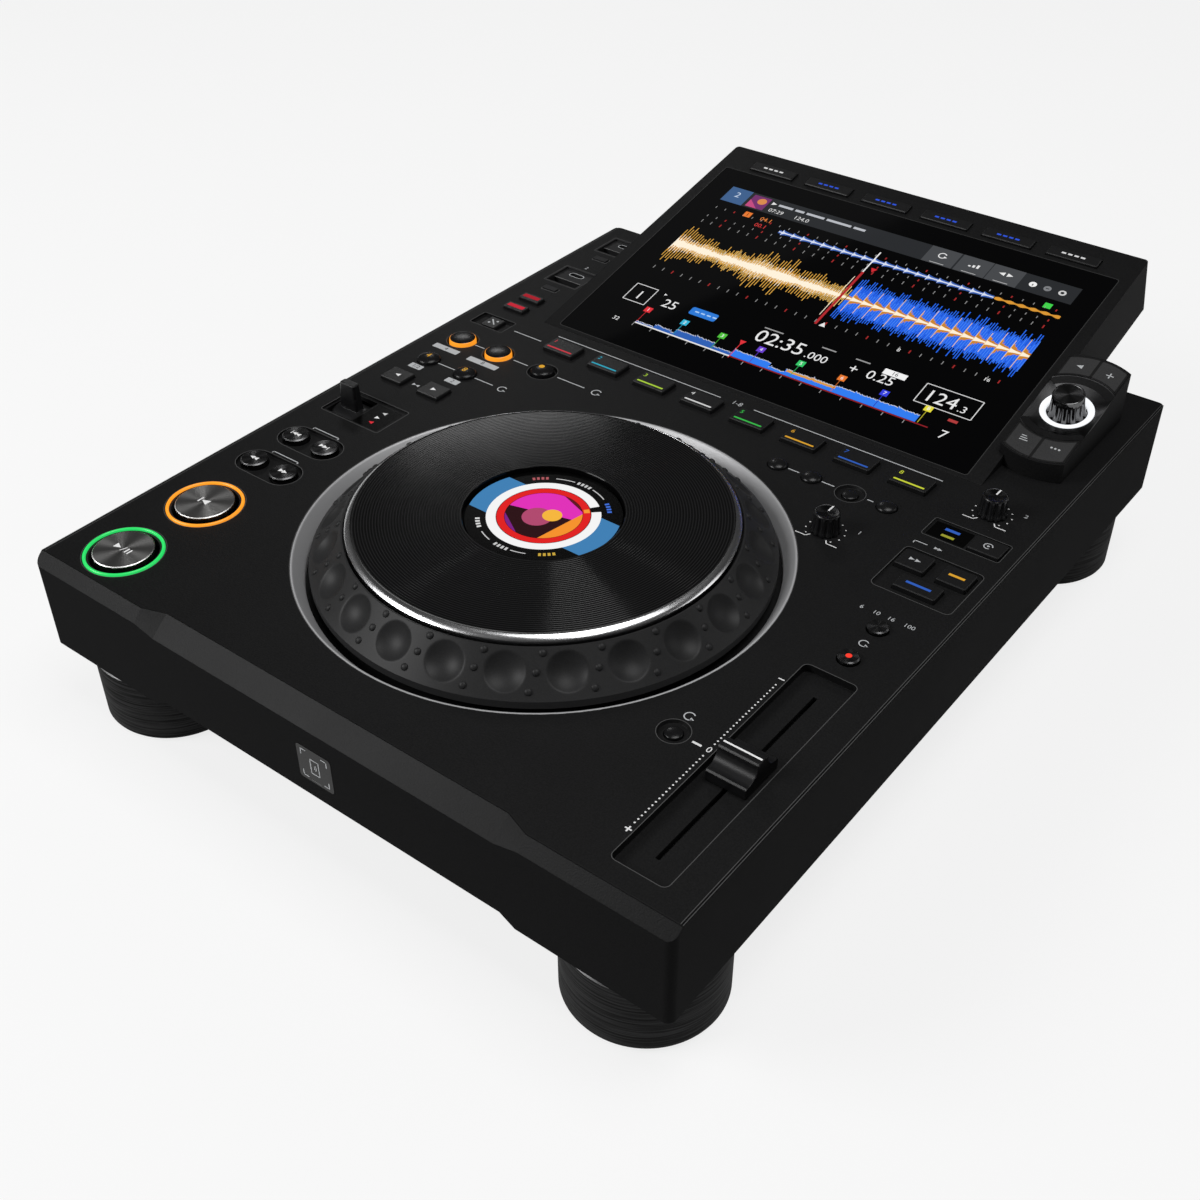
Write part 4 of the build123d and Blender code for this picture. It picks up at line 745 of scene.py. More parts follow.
def dome_profile(radius, crown, wall):
    """A ball cap: at radius r its height is crown * sqrt(1 - (r / radius) squared), on a short wall."""
    r = np.sin(np.linspace(0, pi / 2, 12)) * radius
    height = crown * (np.sqrt(np.maximum(0, 1 - (r / radius) ** 2)) - 1)
    return list(zip(r, height)) + [(radius, -crown - wall), (0, -crown - wall)]


def disc_profile(radius, bevel, wall=5.0):
    """A turned disc: a face that is flat to the eye, a bright bevel and a wall."""
    return [(0, 0), (radius - bevel, -0.04), (radius, -bevel * 0.8), (radius, -wall), (0, -wall)]


def key_top(name):
    """The place on top of a CAD key: its box's middle, at its highest point."""
    low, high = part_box(name)
    return Place(((low.x + high.x) / 2 / MM, (low.y + high.y) / 2 / MM, high.z / MM), (1, 0, 0), (0, 1, 0))


def key_caps(names, profile, turns, finish, slot="keys"):
    for name in names:
        piece(name + "_cap", name, key_top(name), [lathe(profile, turns)], finish, [name], 30)


for (radius, bevel, *names), look in zip(DISCS, ((spun_gunmetal, "metal_keys"), (key_disc,), (key_disc,))):
    key_caps(names, disc_profile(radius, bevel), 96, *look)
for radius, crown, wall, *names in DOMES:
    key_caps(names, dome_profile(radius, crown, wall), 72, key_gloss)
print("round keys", sum(len(row) - 2 for row in DISCS) + sum(len(row) - 3 for row in DOMES))

# %% [markdown]
# ## Knobs
# A knob's side is fluted: its radius is the profile's, less a depth times the fourth power of a
# cosine that runs round it so many times. The power makes narrow hollows between broad lands. The
# CAD knobs have the same hollows as cut cylinders; here their edges are soft as on a moulded cap.


# %% Fluted knobs
def fluted(profile, flutes, depth, top_rows, turns=192):
    """A lathe shape whose rows below top_rows are hollowed: r - depth * cos(flutes * a / 2) ** 4."""
    rows = rings(profile, turns)
    angle = np.linspace(0, 2 * pi, turns, endpoint=False)
    hollow = depth * np.cos(flutes * angle / 2) ** 4
    radius = np.linalg.norm(rows[top_rows:, :, :2], axis=-1)
    share = np.where(radius > depth, (radius - hollow) / np.maximum(radius, 1e-6), 1.0)
    rows[top_rows:, :, :2] *= share[:, :, None]
    return skin(rows)


KNOBS = {"jog_feel_knob": (89.0, 216.6), "stop_speed_knob": (139.8, 270.6)}
KNOB_TOP = 9.8
POINTER_HALF = 0.38
knob_side = [
    (5.15, 9.75), (5.55, 9.35), (5.75, 8.0), (6.05, 3.0), (6.25, 1.8), (6.6, 1.2), (6.6, 0.5), (3.0, 0.5),
]
knob_cap = [(0, 9.72), (4.7, 9.72), (4.95, 9.86), (5.2, 9.8), (5.2, 9.6)]
pointer = [box_patch(-POINTER_HALF, 0.6, POINTER_HALF, 4.9, WHITE, KNOB_TOP + 0.03)]
# The pointer goes on over the rim and down the side: where each strip begins and where it ends.
for begin, end in (((5.2, 9.85), (5.62, 9.3)), ((5.66, 9.3), (6.2, 2.4))):
    strip = [(-POINTER_HALF, *begin), (-POINTER_HALF, *end), (POINTER_HALF, *end), (POINTER_HALF, *begin)]
    pointer.append(Shape(strip, [[0, 1, 2, 3]], WHITE))
for name, (x, back) in KNOBS.items():
    place = DECK.moved(x, back)
    piece(name + "_side", name, place, [fluted(knob_side, 12, 0.75, 2)], knob_black, [name], 40)
    piece(name + "_cap", name, place, [lathe(knob_cap)], knob_spun, (), 30)
    piece(name + "_pointer", name, place, pointer, printed)
print("deck knobs ready")

# %% Browser: dish, ring and knob
BROWSER = SLOPE.moved(138.0, 58.6)
DISH_FLOOR = 3.0
BLOCK_HALF = 15.15
dish_profile = [
    (12.3, DISH_FLOOR + 0.02), (12.5, DISH_FLOOR + 0.1), (21.5, DISH_FLOOR + 1.5), (21.9, DISH_FLOOR + 1.72),
    (22.3, DISH_FLOOR + 1.74), (22.3, DISH_FLOOR + 0.02), (12.3, DISH_FLOOR + 0.02),
]
light_profile = [
    (9.25, 1.2), (9.25, DISH_FLOOR - 0.5), (9.4, DISH_FLOOR - 0.35), (11.5, DISH_FLOOR + 0.3),
    (12.0, DISH_FLOOR + 0.25), (12.2, DISH_FLOOR - 0.1), (12.2, 1.2), (9.25, 1.2),
]
browser_side = [
    (6.5, 13.0), (7.0, 12.85), (7.25, 12.4), (7.4, 9.6), (7.5, 8.9), (7.75, 6.2), (8.3, 3.6), (8.75, 2.6),
    (8.8, 1.4), (3.0, 1.4),
]
browser_cap = [(0, 12.75), (6.2, 12.8), (6.45, 13.0), (6.75, 13.0), (6.75, 12.7)]
dish = lathe(dish_profile, 192)
dish.points[:, 0] = np.clip(dish.points[:, 0], -BLOCK_HALF, BLOCK_HALF)
fluted_side = fluted(browser_side, 12, 1.4, 4)
piece("browser_dish", "deck", BROWSER, [dish], dish_metal, (), 30)
piece("browser_ring", "deck", BROWSER, [lathe(light_profile)], white_lamp, (), 30)
piece("browser_knob_side", "browser_knob", BROWSER, [fluted_side], dark_chrome, ["browser_knob"], 40)
piece("browser_knob_cap", "browser_knob", BROWSER, [lathe(browser_cap)], key_disc, (), 30)
print("browser ready")

# %% [markdown]
# ## The picture on the display
# The display shows a track as a waveform: loudness over time, mirrored about a line. Recorded sound
# isn't at hand, so the height of each thin bar is made up from a beat, a slow swell and noise with a
# fixed seed, and looks the same at each run. All of it is drawn in the glass's own axes, a few
# hundredths of a millimetre above it, in one object, because every face carries its own colour.

# %% Waveforms
INK = -0.12
SCREEN_LOW_X = -102.0
SCREEN_HIGH_X = 105.0
WAVE_Y = 87.8
STRIP_Y = 120.3
OVERVIEW_Y = 22.8
NOW_X = 1.7
BEAT = 6.2
random = np.random.default_rng(7)


def bars(x, middle, heights, tint, width, out, below=1.0):
    """Upright bars centred on x, from middle + height down to middle - below * height."""
    left, right = x - width / 2, x + width / 2
    low, high = middle - below * heights, middle + heights
    points = np.empty((len(x), 4, 3))
    points[:, :, 0] = np.stack([left, right, right, left], -1)
    points[:, :, 1] = np.stack([low, low, high, high], -1)
    points[:, :, 2] = out
    return Shape(points.reshape(-1, 3), np.arange(len(x) * 4).reshape(-1, 4).tolist(), tint)


def beat_shape(x, sharpness):
    """1 on each beat, falling off to the next as exp(-sharpness * phase)."""
    return np.exp(-sharpness * np.mod((x - NOW_X) / BEAT, 1.0))


def swell(x):
    return 1.0 + 0.2 * np.sin(x * 0.11) + 0.15 * np.sin(x * 0.37 + 1.0)


def fade(x):
    """The music sinks before the playhead."""
    return np.clip((6.5 - x) / 14.0, 0.3, 1.0)


def main_waveform(out):
    """Gold and cream before the playhead, blue with an amber core and white beats after it."""
    played, thin = np.arange(SCREEN_LOW_X, 5.0, 0.5), np.arange(SCREEN_LOW_X, 5.0, 1.6)
    coming, sharp = np.arange(5.4, SCREEN_HIGH_X, 0.5), np.arange(5.4, SCREEN_HIGH_X, 1.3)
    beats = np.arange(NOW_X + BEAT, SCREEN_HIGH_X, BEAT)
    beat = beat_shape(coming, 2.2)
    body = (2.6 + 2.4 * random.random(len(played))) * swell(played) * fade(played)
    spikes = (7.5 + 6.0 * random.random(len(thin))) * swell(thin) * fade(thin)
    rows = [
        (played, body * 1.25, "c4892f", 0.5, 0.0),
        (thin, spikes, "dba545", 0.5, 0.01),
        (thin + 0.8, spikes[::-1] * 0.55, "edc87c", 0.4, 0.02),
        (played, body * 0.62, "fff1d8", 0.5, 0.04),
        (thin, spikes * 0.5, "fff4e2", 0.35, 0.05),
        (coming, 9.0 + 3.0 * random.random(len(coming)), "1c55d6", 0.5, 0.0),
        (sharp, 11.5 + 6.0 * random.random(len(sharp)), "2468ee", 0.55, 0.01),
        (sharp + 0.6, 6.0 + 6.5 * random.random(len(sharp)), "4a8cff", 0.35, 0.02),
        (coming, 0.8 + 6.4 * beat * (0.5 + 0.5 * random.random(len(coming))), "c9842e", 0.5, 0.04),
        (coming, 0.4 + 1.4 * beat, "fff1d8", 0.5, 0.06),
        (beats, 7.5 + 4.5 * random.random(len(beats)), "f6cf98", 0.32, 0.08),
    ]
    return [bars(x, WAVE_Y, heights, tint, width, out + lift) for x, heights, tint, width, lift in rows]


def beat_strip(out):
    """The narrow strip of another track above: blue with white beats, then a quiet amber end."""
    near, far = np.arange(-56.0, 70.0, 0.4), np.arange(70.4, SCREEN_HIGH_X, 0.4)
    beat = beat_shape(near, 3.0)
    return [
        bars(near, STRIP_Y, 1.1 + 1.4 * beat, "3d64b8", 0.38, out),
        bars(near, STRIP_Y, 0.4 + 2.0 * beat**3, "dfe6f5", 0.38, out + 0.02),
        bars(far, STRIP_Y, 0.5 + 0.8 * np.sin(far * 0.5) ** 2, "d99632", 0.4, out),
    ]


def tick_row(level, height, out):
    """Short upright marks at each beat, every fourth one red and wider."""
    x = np.arange(-99.6, SCREEN_HIGH_X - 1, 5.9)
    fourth = np.arange(len(x)) % 4 == 2
    return [
        bars(x[~fourth], level, 0 * x[~fourth] + height, "8d8d8d", 0.45, out),
        bars(x[fourth], level, 0 * x[fourth] + height, "a02828", 0.7, out),
    ]


def overview(out):
    """The whole track at a glance: bars that stand on a line, darker where it has been played."""
    x = np.arange(-81.0, 80.5, 0.5)
    ends = [x < end for end in (-70, -60, -58, -34, -23, -1, 8, 36)]
    step = np.select(ends, [0.6, 2.4, 1.2, 4.4, 2.0, 4.6, 1.6, 4.0], 4.8)
    height = step + 0.7 * random.random(len(x)) + 0.9 * np.exp(-np.mod(x, 23.0))
    played, amber = x < -22.8, (x > 8) & (x < 36)
    rows = [
        (played, height, "2d5fb4", 0.0), (~played, height, "2f7bf0", 0.0),
        (amber, height * 0.9, "d99b45", 0.02), (amber, height * 0.55, "2f7bf0", 0.04),
    ]
    shapes = [bars(x[part], OVERVIEW_Y, h[part], tint, 0.5, out + lift, 0.0) for part, h, tint, lift in rows]
    caps = [(middle, OVERVIEW_Y + reach) for middle, reach in zip(x, height)]
    caps = [(middle - 0.25, top - 0.45, middle + 0.25, top, "c9ccd4") for middle, top in caps]
    return shapes + boxes(caps, out + 0.05)


print("waveform helpers ready")

# %% Screen picture
CUE_COLOURS = ("e0303a", "35b5d8", "4fc23c", "6a3fd0", "35c86a", "e8792e", "3440e0", "e6dc3c")
CUE_XS = (-80.8, -57.7, -34.5, -11.3, 11.8, 35.0, 58.2, 81.5)
SLATE = "26282b"


def header(out):
    """The bar along the top: a numbered cell, a cover picture, plain figures and three grey tabs."""
    lengths = np.array([9.0, 5.5, 11.0, 15.0, 7.0])
    starts = np.cumsum(lengths + 1.6) - (lengths + 1.6) - 69.0
    shapes = boxes([
        (SCREEN_LOW_X, 131.5, SCREEN_HIGH_X, 145.0, SLATE), (-101.8, 131.5, -88.2, 145.0, "3d5f8c", 0.02),
        (-86.2, 132.6, -75.2, 143.6, "74306c", 0.02), (81.7, 136.9, 82.3, 138.4, SLATE, 0.04),
        (88.9, 137.7, 90.7, 138.3, SLATE, 0.04),
        *[(low, 131.5, low + 17.0, 145.0, "45474a", 0.02) for low in (22.8, 40.8, 58.3)],
        *[(low + 4.5, 132.3, low + 12.5, 132.7, "bdbdbd", 0.04) for low in (22.8, 40.8, 58.3)],
        *[(46.6 + 2.2 * n, 137.2, 47.9 + 2.2 * n, 138.2 + 0.9 * n, WHITE, 0.04) for n in range(3)],
        *[(start, 139.7, start + length, 141.5, "b9bcc2", 0.02) for start, length in zip(starts, lengths)],
    ], out)
    shapes += numbers([
        ("2", -95.0, 139.0, 4.4, "c6d6ea", 0.04), ("07:29", -67.4, 134.8, 2.9, "e0e0e0", 0.02),
        ("124.0", -51.2, 134.8, 2.9, "e0e0e0", 0.02),
    ], out)
    shapes.append(patch([(-86.2, 132.6), (-79.0, 132.6), (-86.2, 139.0)], "c24a80", out + 0.04))
    shapes.append(dot(-79.2, 139.4, 2.7, "d98a4c", out + 0.04, 24))
    shapes.append(arrow(-71.8, 140.6, 3.0, 1, "e6e6e6", out + 0.02))
    shapes += [s.moved(31.3, 139.2, out + 0.04) for s in (arc(1.7, 2.3, 30, 330), arrow(2.1, -0.9, 1.9))]
    shapes += [arrow(x, 139.2, 3.2, way, WHITE, out + 0.04) for x, way in ((64.6, -1), (69.2, 1))]
    lights = ((82.0, "f0f0f0"), (89.8, "7d7f82"), (97.7, "d0d0d0"))
    shapes += [dot(x, 138.0, 2.0, tint, out + 0.02, 20) for x, tint in lights]
    return shapes + [dot(97.7, 138.0, 1.0, SLATE, out + 0.04, 16)]


def readings(out):
    """The row of plain figures under the waveform, some in a frame or on a coloured field."""
    frames = outline_box(-99.0, 35.8, -85.5, 49.5, 0.5, "d8d8d8", out)
    frames += outline_box(72.5, 35.5, 102.0, 49.2, 0.5, "d8d8d8", out)
    fields = boxes([
        (49.8, 45.6, 62.0, 49.6, "f2f2f2"), (92.9, 30.4, 97.7, 32.2, "b03a3a"),
        *[(-58.0 + 3.6 * n, 43.1, -55.6 + 3.6 * n, 44.1, "a9cdf5", 0.02) for n in range(4)],
        *[(x, 48.6, x + width, 49.4, "9a9a9a") for x, width in ((-19.0, 11.0), (14.5, 8.0), (33.6, 8.0))],
    ], out)
    fields.append(patch(rounded(8.0, 2.9, 1.2) + (-52.8, 43.6), "2c79d6", out))
    middled = numbers([
        ("1", -92.2, 41.4, 6.4, WHITE), ("25", -73.0, 42.0, 6.2, WHITE),
        ("+  0.25", 46.2, 41.8, 6.0, WHITE), ("16", 55.9, 47.6, 2.5, "151515", 0.02),
        ("32", -92.2, 20.6, 2.7, WHITE), ("8", 48.4, 64.0, 2.4, WHITE),
        ("16", 95.4, 64.0, 2.4, WHITE), ("7", 95.6, 21.0, 5.6, WHITE),
    ], out)
    from_left = numbers([
        ("02:35", -19.9, 42.2, 8.8, WHITE), (".000", 9.6, 40.9, 5.0, WHITE),
        ("124", 74.8, 41.6, 8.0, WHITE), (".3", 93.2, 40.0, 4.4, WHITE),
    ], out, "LEFT")
    return frames + fields + middled + from_left + [arrow(-79.6, 48.0, 1.8, 1, WHITE, out)]


def cue_markers(out):
    """Coloured squares over the overview, each with its plain number, and the line under it."""
    shapes = [patch([(-22.8, 31.6), (-21.0, 35.4), (-24.6, 35.4)], "e03038", out)]
    for number, (x, code) in enumerate(zip(CUE_XS, CUE_COLOURS), 1):
        shapes.append(box_patch(x - 2.0, 31.7, x + 2.0, 35.7, code, out))
        shapes.append(box_patch(x - 0.2, 23.0, x + 0.2, 31.7, hue(code, 0.6), out + 0.08))
        shapes.append(figures(str(number), x, 33.7, 2.2, "f4f4f4", out + 0.02))
    return shapes + boxes([
        (-23.0, 21.0, -22.6, 32.0, "e03038", 0.1), (-81.3, 21.9, -22.8, 22.8, "e6e6e6"),
        (-22.8, 21.9, 87.3, 22.6, "8e1c26"),
        *[(x - 0.2, 19.6, x + 0.2, 21.7, "9a9a9a") for x in np.arange(-81.3, 84.0, 11.2)],
    ], out)


def playhead(out):
    shapes = boxes([
        (NOW_X - 0.35, 63.0, NOW_X + 0.35, 127.8, "f2f2f2"),
        (NOW_X - 1.9, 70.0, NOW_X - 1.5, 104.5, "f6ead2"),
        (NOW_X - 0.5, 62.8, NOW_X + 0.9, 109.5, "b3262c", 0.02),
    ], out)
    shapes.append(patch([(5.8, 111.0), (7.6, 114.4), (4.0, 114.4)], "d02832", out))
    return shapes + [patch([(4.0, 62.4), (7.6, 62.4), (5.8, 65.8)], WHITE, out)]


picture = header(INK) + readings(INK) + cue_markers(INK) + overview(INK)
picture += main_waveform(INK) + beat_strip(INK) + playhead(INK + 0.16)
for level, height in ((110.8, 1.2), (65.3, 1.2), (124.6, 0.8), (116.0, 0.8)):
    picture += tick_row(level, height, INK)
picture += boxes([(-82.2, 123.9, -77.8, 128.3, "e8792e"), (93.8, 124.0, 97.8, 128.0, "3fd24a")], INK)
picture += numbers([
    ("1", -80.0, 126.1, 2.6, "201008", 0.02), ("04.1", -68.0, 126.0, 3.0, "e8843c"),
    ("00.1", -68.0, 120.2, 3.0, "d23a3a"),
], INK)
piece("screen_picture", "deck", SLOPE, picture, lit)
print("screen picture of", len(picture), "shapes")

# %% [markdown]
# ## The wheel's display
# The round display in the wheel stands still under its glass. It shows a white ring with a notch for
# the play position, a red ring, two blue bars, and a small picture in the middle. The picture is a
# generic one of soft bands, and the words around it are plain marks.


# %% Wheel display
def ring_segment(half_height, inner, outer, side, tint, out):
    """The part of a flat ring between two levels: along an arc, its ends cut level."""
    steps = 13
    steep = np.arcsin(half_height / outer)
    angle = np.linspace(-steep, steep, steps)
    outer_edge = np.stack([outer * np.cos(angle), outer * np.sin(angle)], -1)
    inner_y = np.clip(outer_edge[:, 1], -inner * 0.99, inner * 0.99)
    inner_edge = np.stack([np.sqrt(inner**2 - inner_y**2), inner_y], -1)
    grid = np.stack([inner_edge, outer_edge]) * (side, 1)
    points = np.dstack([grid, np.full(grid.shape[:2], out)]).reshape(-1, 3)
    faces = [[n, steps + n, steps + n + 1, n + 1] for n in range(steps - 1)]
    return Shape(points, [face[::side] for face in faces], tint)


def half_disc(radius, start, end, tint, out):
    """A disc cut off by a chord between two angles."""
    return patch(around(radius, 0.0, np.radians(np.linspace(start, end, 40)))[:, :2], tint, out)


GLASS_TOP = 14.4
face = [dot(0, 0, 16.3, "2a0a10", 0.02, 64)]
for start, end, tint, out in (
    (20, 190, "e02fb8", 0.03), (-60, 40, "f5922a", 0.04),
    (-150, -95, "7a1f86", 0.04), (45, 95, "5c0f1c", 0.05),
):
    face.append(half_disc(16.2, start, end, tint, out))
face += [dot(-1.5, -2.5, 6.4, "b0486e", 0.06, 48), dot(3.0, 2.0, 4.2, "f5b63c", 0.07, 40)]
face += [arc(16.4, 19.6, 0, 360, "e01e1e", 0.03), arc(19.9, 24.0, 52.5, 403, "f4f4f4", 0.03)]
face.append(arc(16.9, 19.3, 42, 50, "f59a30", 0.05))
face += [ring_segment(13.0, 24.0, 32.4, side, "3f7fb4", 0.03) for side in (1, -1)]
for start, end in ((100, 118), (62, 80), (-80, -66), (-118, -104)):
    face.append(arc(27.2, 27.7, start, end, "c8c8c8", 0.03))
for middle, tint in (
    (90, "c8c8c8"), (-90, "c8c8c8"), (132, "b05a60"), (48, "3f6fd8"), (-132, "d8d8d8"), (-48, "c9a63c"),
):
    for step in (-6.0, -2.0, 2.0, 6.0):
        face.append(arc(26.5, 28.4, middle + step - 1.2, middle + step + 1.2, tint, 0.03))
piece("wheel_picture", "deck", JOG.moved(0, 0, GLASS_TOP), face, lit_mark)
print("wheel display of", len(face), "shapes")

# %% [markdown]
# ## Print and lamps on the deck
# The deck's print is white and grey: scales, tie lines between related keys, and signs. Where such a
# deck carries words, this one has plain numbers and the signs that every player knows, such as
# arrows. Print lies a few hundredths of a millimetre above the face, which also keeps it from
# flickering against it.


# %% Signs
PRINT = 0.03
SCALE_RADIUS = 8.6


def skip(x, y, size, way, tint=WHITE, out=0.0, bar=True):
    """Two triangles, with a bar at their tips for a jump to the next track."""
    signs = [arrow(x + step * way * size * 0.42, y, size, way, tint, out) for step in (-1, 1)]
    if bar:
        edge, half = x + way * size * 1.05, size * 0.45
        signs.append(box_patch(edge - size * 0.09, y - half, edge + size * 0.09, y + half, tint, out))
    return signs


def play_pause(x, y, size, tint):
    """A triangle, a slash and two bars."""
    half = size * 0.45
    signs = [arrow(x - size * 1.05, y, size, 1, tint)]
    signs.append(line((x - size * 0.25, y - half), (x + size * 0.15, y + half), size * 0.12, tint))
    lows = (x + size * 0.45, x + size * 0.95)
    return signs + [box_patch(low, y - half, low + size * 0.22, y + half, tint) for low in lows]


def loop_sign(x, y, radius):
    """A ring that is open at the right, with an arrow head at its end."""
    ring = arc(radius * 0.78, radius, 40, 330, PALE, PRINT).moved(x, y)
    return [ring, arrow(x + radius * 0.8, y - radius * 0.45, radius * 0.8, 1, PALE, PRINT)]


def knob_scale(x, back):
    """Dots from lower left over the top to lower right, a bracket at each end of the range."""
    angles = np.radians(np.linspace(-45, 225, 11))
    shapes = [dot(SCALE_RADIUS * cos(a), SCALE_RADIUS * sin(a), 0.36, WHITE, 0, 10) for a in angles]
    across, down = cos(radians(50)), sin(radians(50))
    for side in (-1, 1):
        inner, outer = (side * 6.0 * across, -8.0 * down), (side * 8.0 * across, -10.6 * down)
        shapes.append(line(inner, outer, 0.5))
        shapes.append(line(outer, (outer[0] + side * 5.0, outer[1]), 0.5))
    return [shape.moved(x, back, PRINT) for shape in shapes]


print("signs ready")

# %% Print on the deck
SCALE_X = 125.6
TIE_LINES = [
    (-136.4, -130.3, 247.5), (-111.0, -101.7, 247.5), (-82.7, -65.8, 247.5), (50.9, 56.7, 247.5),
    (68.4, 74.9, 247.5), (91.5, 94.5, 247.5), (-139.0, -127.9, 222.3), (-114.7, -102.9, 222.3),
    (-130.3, -112.4, 270.9), (-108.5, -8.0, 280.4), (11.0, 111.0, 280.4),
]
ink = boxes([(low, back - 0.3, high, back + 0.3, PALE) for low, high, back in TIE_LINES], PRINT)
for x, back, width, number in (
    (-145.7, 235.7, 16.1, "4"), (-121.3, 235.7, 19.0, "8"),
    (-145.7, 213.3, 8.0, "1/2"), (-121.4, 213.3, 8.0, "2"),
):
    ink.append(patch(rounded(width / 2, 2.0, 0.5) + (x, back), PALE, PRINT))
    ink.append(figures(number, x, back, 2.5, "1a1a1a", PRINT + 0.02))
for x, back, radius in ((-58.5, 247.5, 2.6), (-97.0, 222.3, 2.4), (110.0, 86.2, 2.3), (139.6, 161.0, 2.1)):
    ink += loop_sign(x, back, radius)
ink += [skip(-133.1, 199.8, 2.2, way, PALE, PRINT, False)[0] for way in (-1, 1)]
# Brackets over the two pairs of search keys.
for back in (142.2, 116.6):
    ends = [(x, back - 1.2, x + 0.5, back + 0.25, PALE) for x in (-144.0, -127.9)]
    ink += boxes([(-144.0, back - 0.25, -127.4, back + 0.25, PALE), *ends], PRINT)
# The fader's scale: dots on both sides of its zero, a plus and a minus at its ends.
scale_dots = np.concatenate([np.linspace(120.0, 79.6, 21), np.linspace(72.2, 31.7, 21)])
ink += [dot(SCALE_X, back, 0.4, WHITE, PRINT, 10) for back in scale_dots]
ink += boxes([
    (SCALE_X - 1.3, 123.6, SCALE_X + 1.3, 124.2, WHITE), (SCALE_X - 1.4, 27.8, SCALE_X + 1.4, 28.4, WHITE),
    (SCALE_X - 0.3, 26.7, SCALE_X + 0.3, 29.5, WHITE, 0.01), (118.4, 75.4, 122.4, 76.4, WHITE),
], PRINT)
for place in KNOBS.values():
    ink += knob_scale(*place)
ink += numbers([
    ("0", SCALE_X, 75.9, 2.9, WHITE), ("1-8", 1.5, 280.4, 3.0, PALE), ("1", 101.5, 223.6, 2.6, PALE),
    ("2", 152.4, 277.4, 2.6, PALE), ("2", -145.3, 350.6, 2.6, PALE), ("1", -145.3, 395.0, 2.6, PALE),
    ("6", 127.4, 180.6, 2.3, PALE), ("10", 134.0, 180.6, 2.3, PALE), ("16", 140.6, 180.6, 2.3, PALE),
    ("100", 148.7, 180.6, 2.3, PALE),
], PRINT)
ink.append(line((122.6, 231.6), (122.6, 233.6), 0.45, PALE, PRINT))
ink.append(line((122.4, 233.4), (128.4, 233.4), 0.45, PALE, PRINT))
ink += skip(133.5, 233.4, 2.0, 1, PALE, PRINT, False)
piece("deck_print", "deck", DECK, ink, printed)
print("deck print of", len(ink), "shapes")

# %% Painted highlights on the edges of the recesses
# This grey is a painted highlight: the strips round each recess and each round well stand in for light caught
# by their edges. The dark lines along the plate's front are its seam.
EDGE_HIGHLIGHT = "4a4a4a"
BAY_X = -145.3
BAY_BACKS = (336.7, 381.3)
BAY_INK = -1.16
# Middle, width, length and corner radius of each recess, then middle and radius of the round ones.
TRAYS = [
    (139.5, 76.0, 23.2, 123.3, 2.5), (139.8, 212.2, 35.9, 31.8, 2.5), (139.7, 246.8, 35.6, 14.0, 1.2),
    (-145.4, 271.5, 21.2, 12.2, 1.0), (-135.9, 167.5, 36.9, 22.2, 1.2), (-135.7, 131.6, 36.0, 17.2, 8.59),
    (-135.7, 106.0, 36.0, 17.2, 8.59), *[(BAY_X, back, 21.4, 20.2, 0.3) for back in BAY_BACKS],
]
WELLS = [
    (83.2, 247.0, 6.8), (110.0, 76.2, 6.4), (-92.2, 247.4, 7.6), (-145.1, 247.6, 8.26), (-121.1, 247.6, 8.26),
    (-136.0, 25.1, 17.46), (-136.0, 69.1, 17.46), (0.0, 136.7, 106.0),
]
edges = [trim(width / 2, length / 2, corner, EDGE_HIGHLIGHT).moved(x, back) for x, back, width, length, corner in TRAYS]
edges += [arc(radius, radius + 0.28, 0, 360, EDGE_HIGHLIGHT, PRINT).moved(x, back) for x, back, radius in WELLS]
plate_front = [(-163.1, 5.5), (-100.0, 5.5), (-89.0, 9.4), (89.0, 9.4), (100.0, 5.5), (163.1, 5.5)]
edges += [line(start, end, 0.5, "060606", PRINT) for start, end in zip(plate_front, plate_front[1:])]
# Along each side, the grey line at the plate's edge and the one on the case's lip are painted highlights.
for side in (-1, 1):
    edges.append(line((side * 163.1, 5.5), (side * 163.1, 402.6), 0.3, EDGE_HIGHLIGHT, PRINT))
    edges.append(line((side * 164.1, 5.5), (side * 164.1, 402.6), 0.3, EDGE_HIGHLIGHT, 0.02))
# In each bay, the pale outline round the port, the grey line in front of it and the grey outline round the
# stop key are painted highlights.
for back in BAY_BACKS:
    edges.append(trim(4.3, 1.6, 1.59, PALE, 0.4, BAY_INK).moved(BAY_X, back + 5.0))
    edges.append(box_patch(BAY_X - 9.7, back - 2.5, BAY_X + 9.7, back - 2.1, "7a7a7a", BAY_INK))
    edges.append(trim(4.6, 2.0, 0.3, "6a6a6a", 0.3).moved(BAY_X, back - 17.8))
piece("edge_highlights_and_seams", "deck", DECK, edges, printed)
# The grey strip round the display's glass is a painted highlight along its edge.
piece("glass_edge_highlight", "deck", SLOPE, [trim(116.6, 78.1, 1.5, "2e2e2e", 0.4).moved(0.8, 81.0)], printed)
print("edges", len(edges))

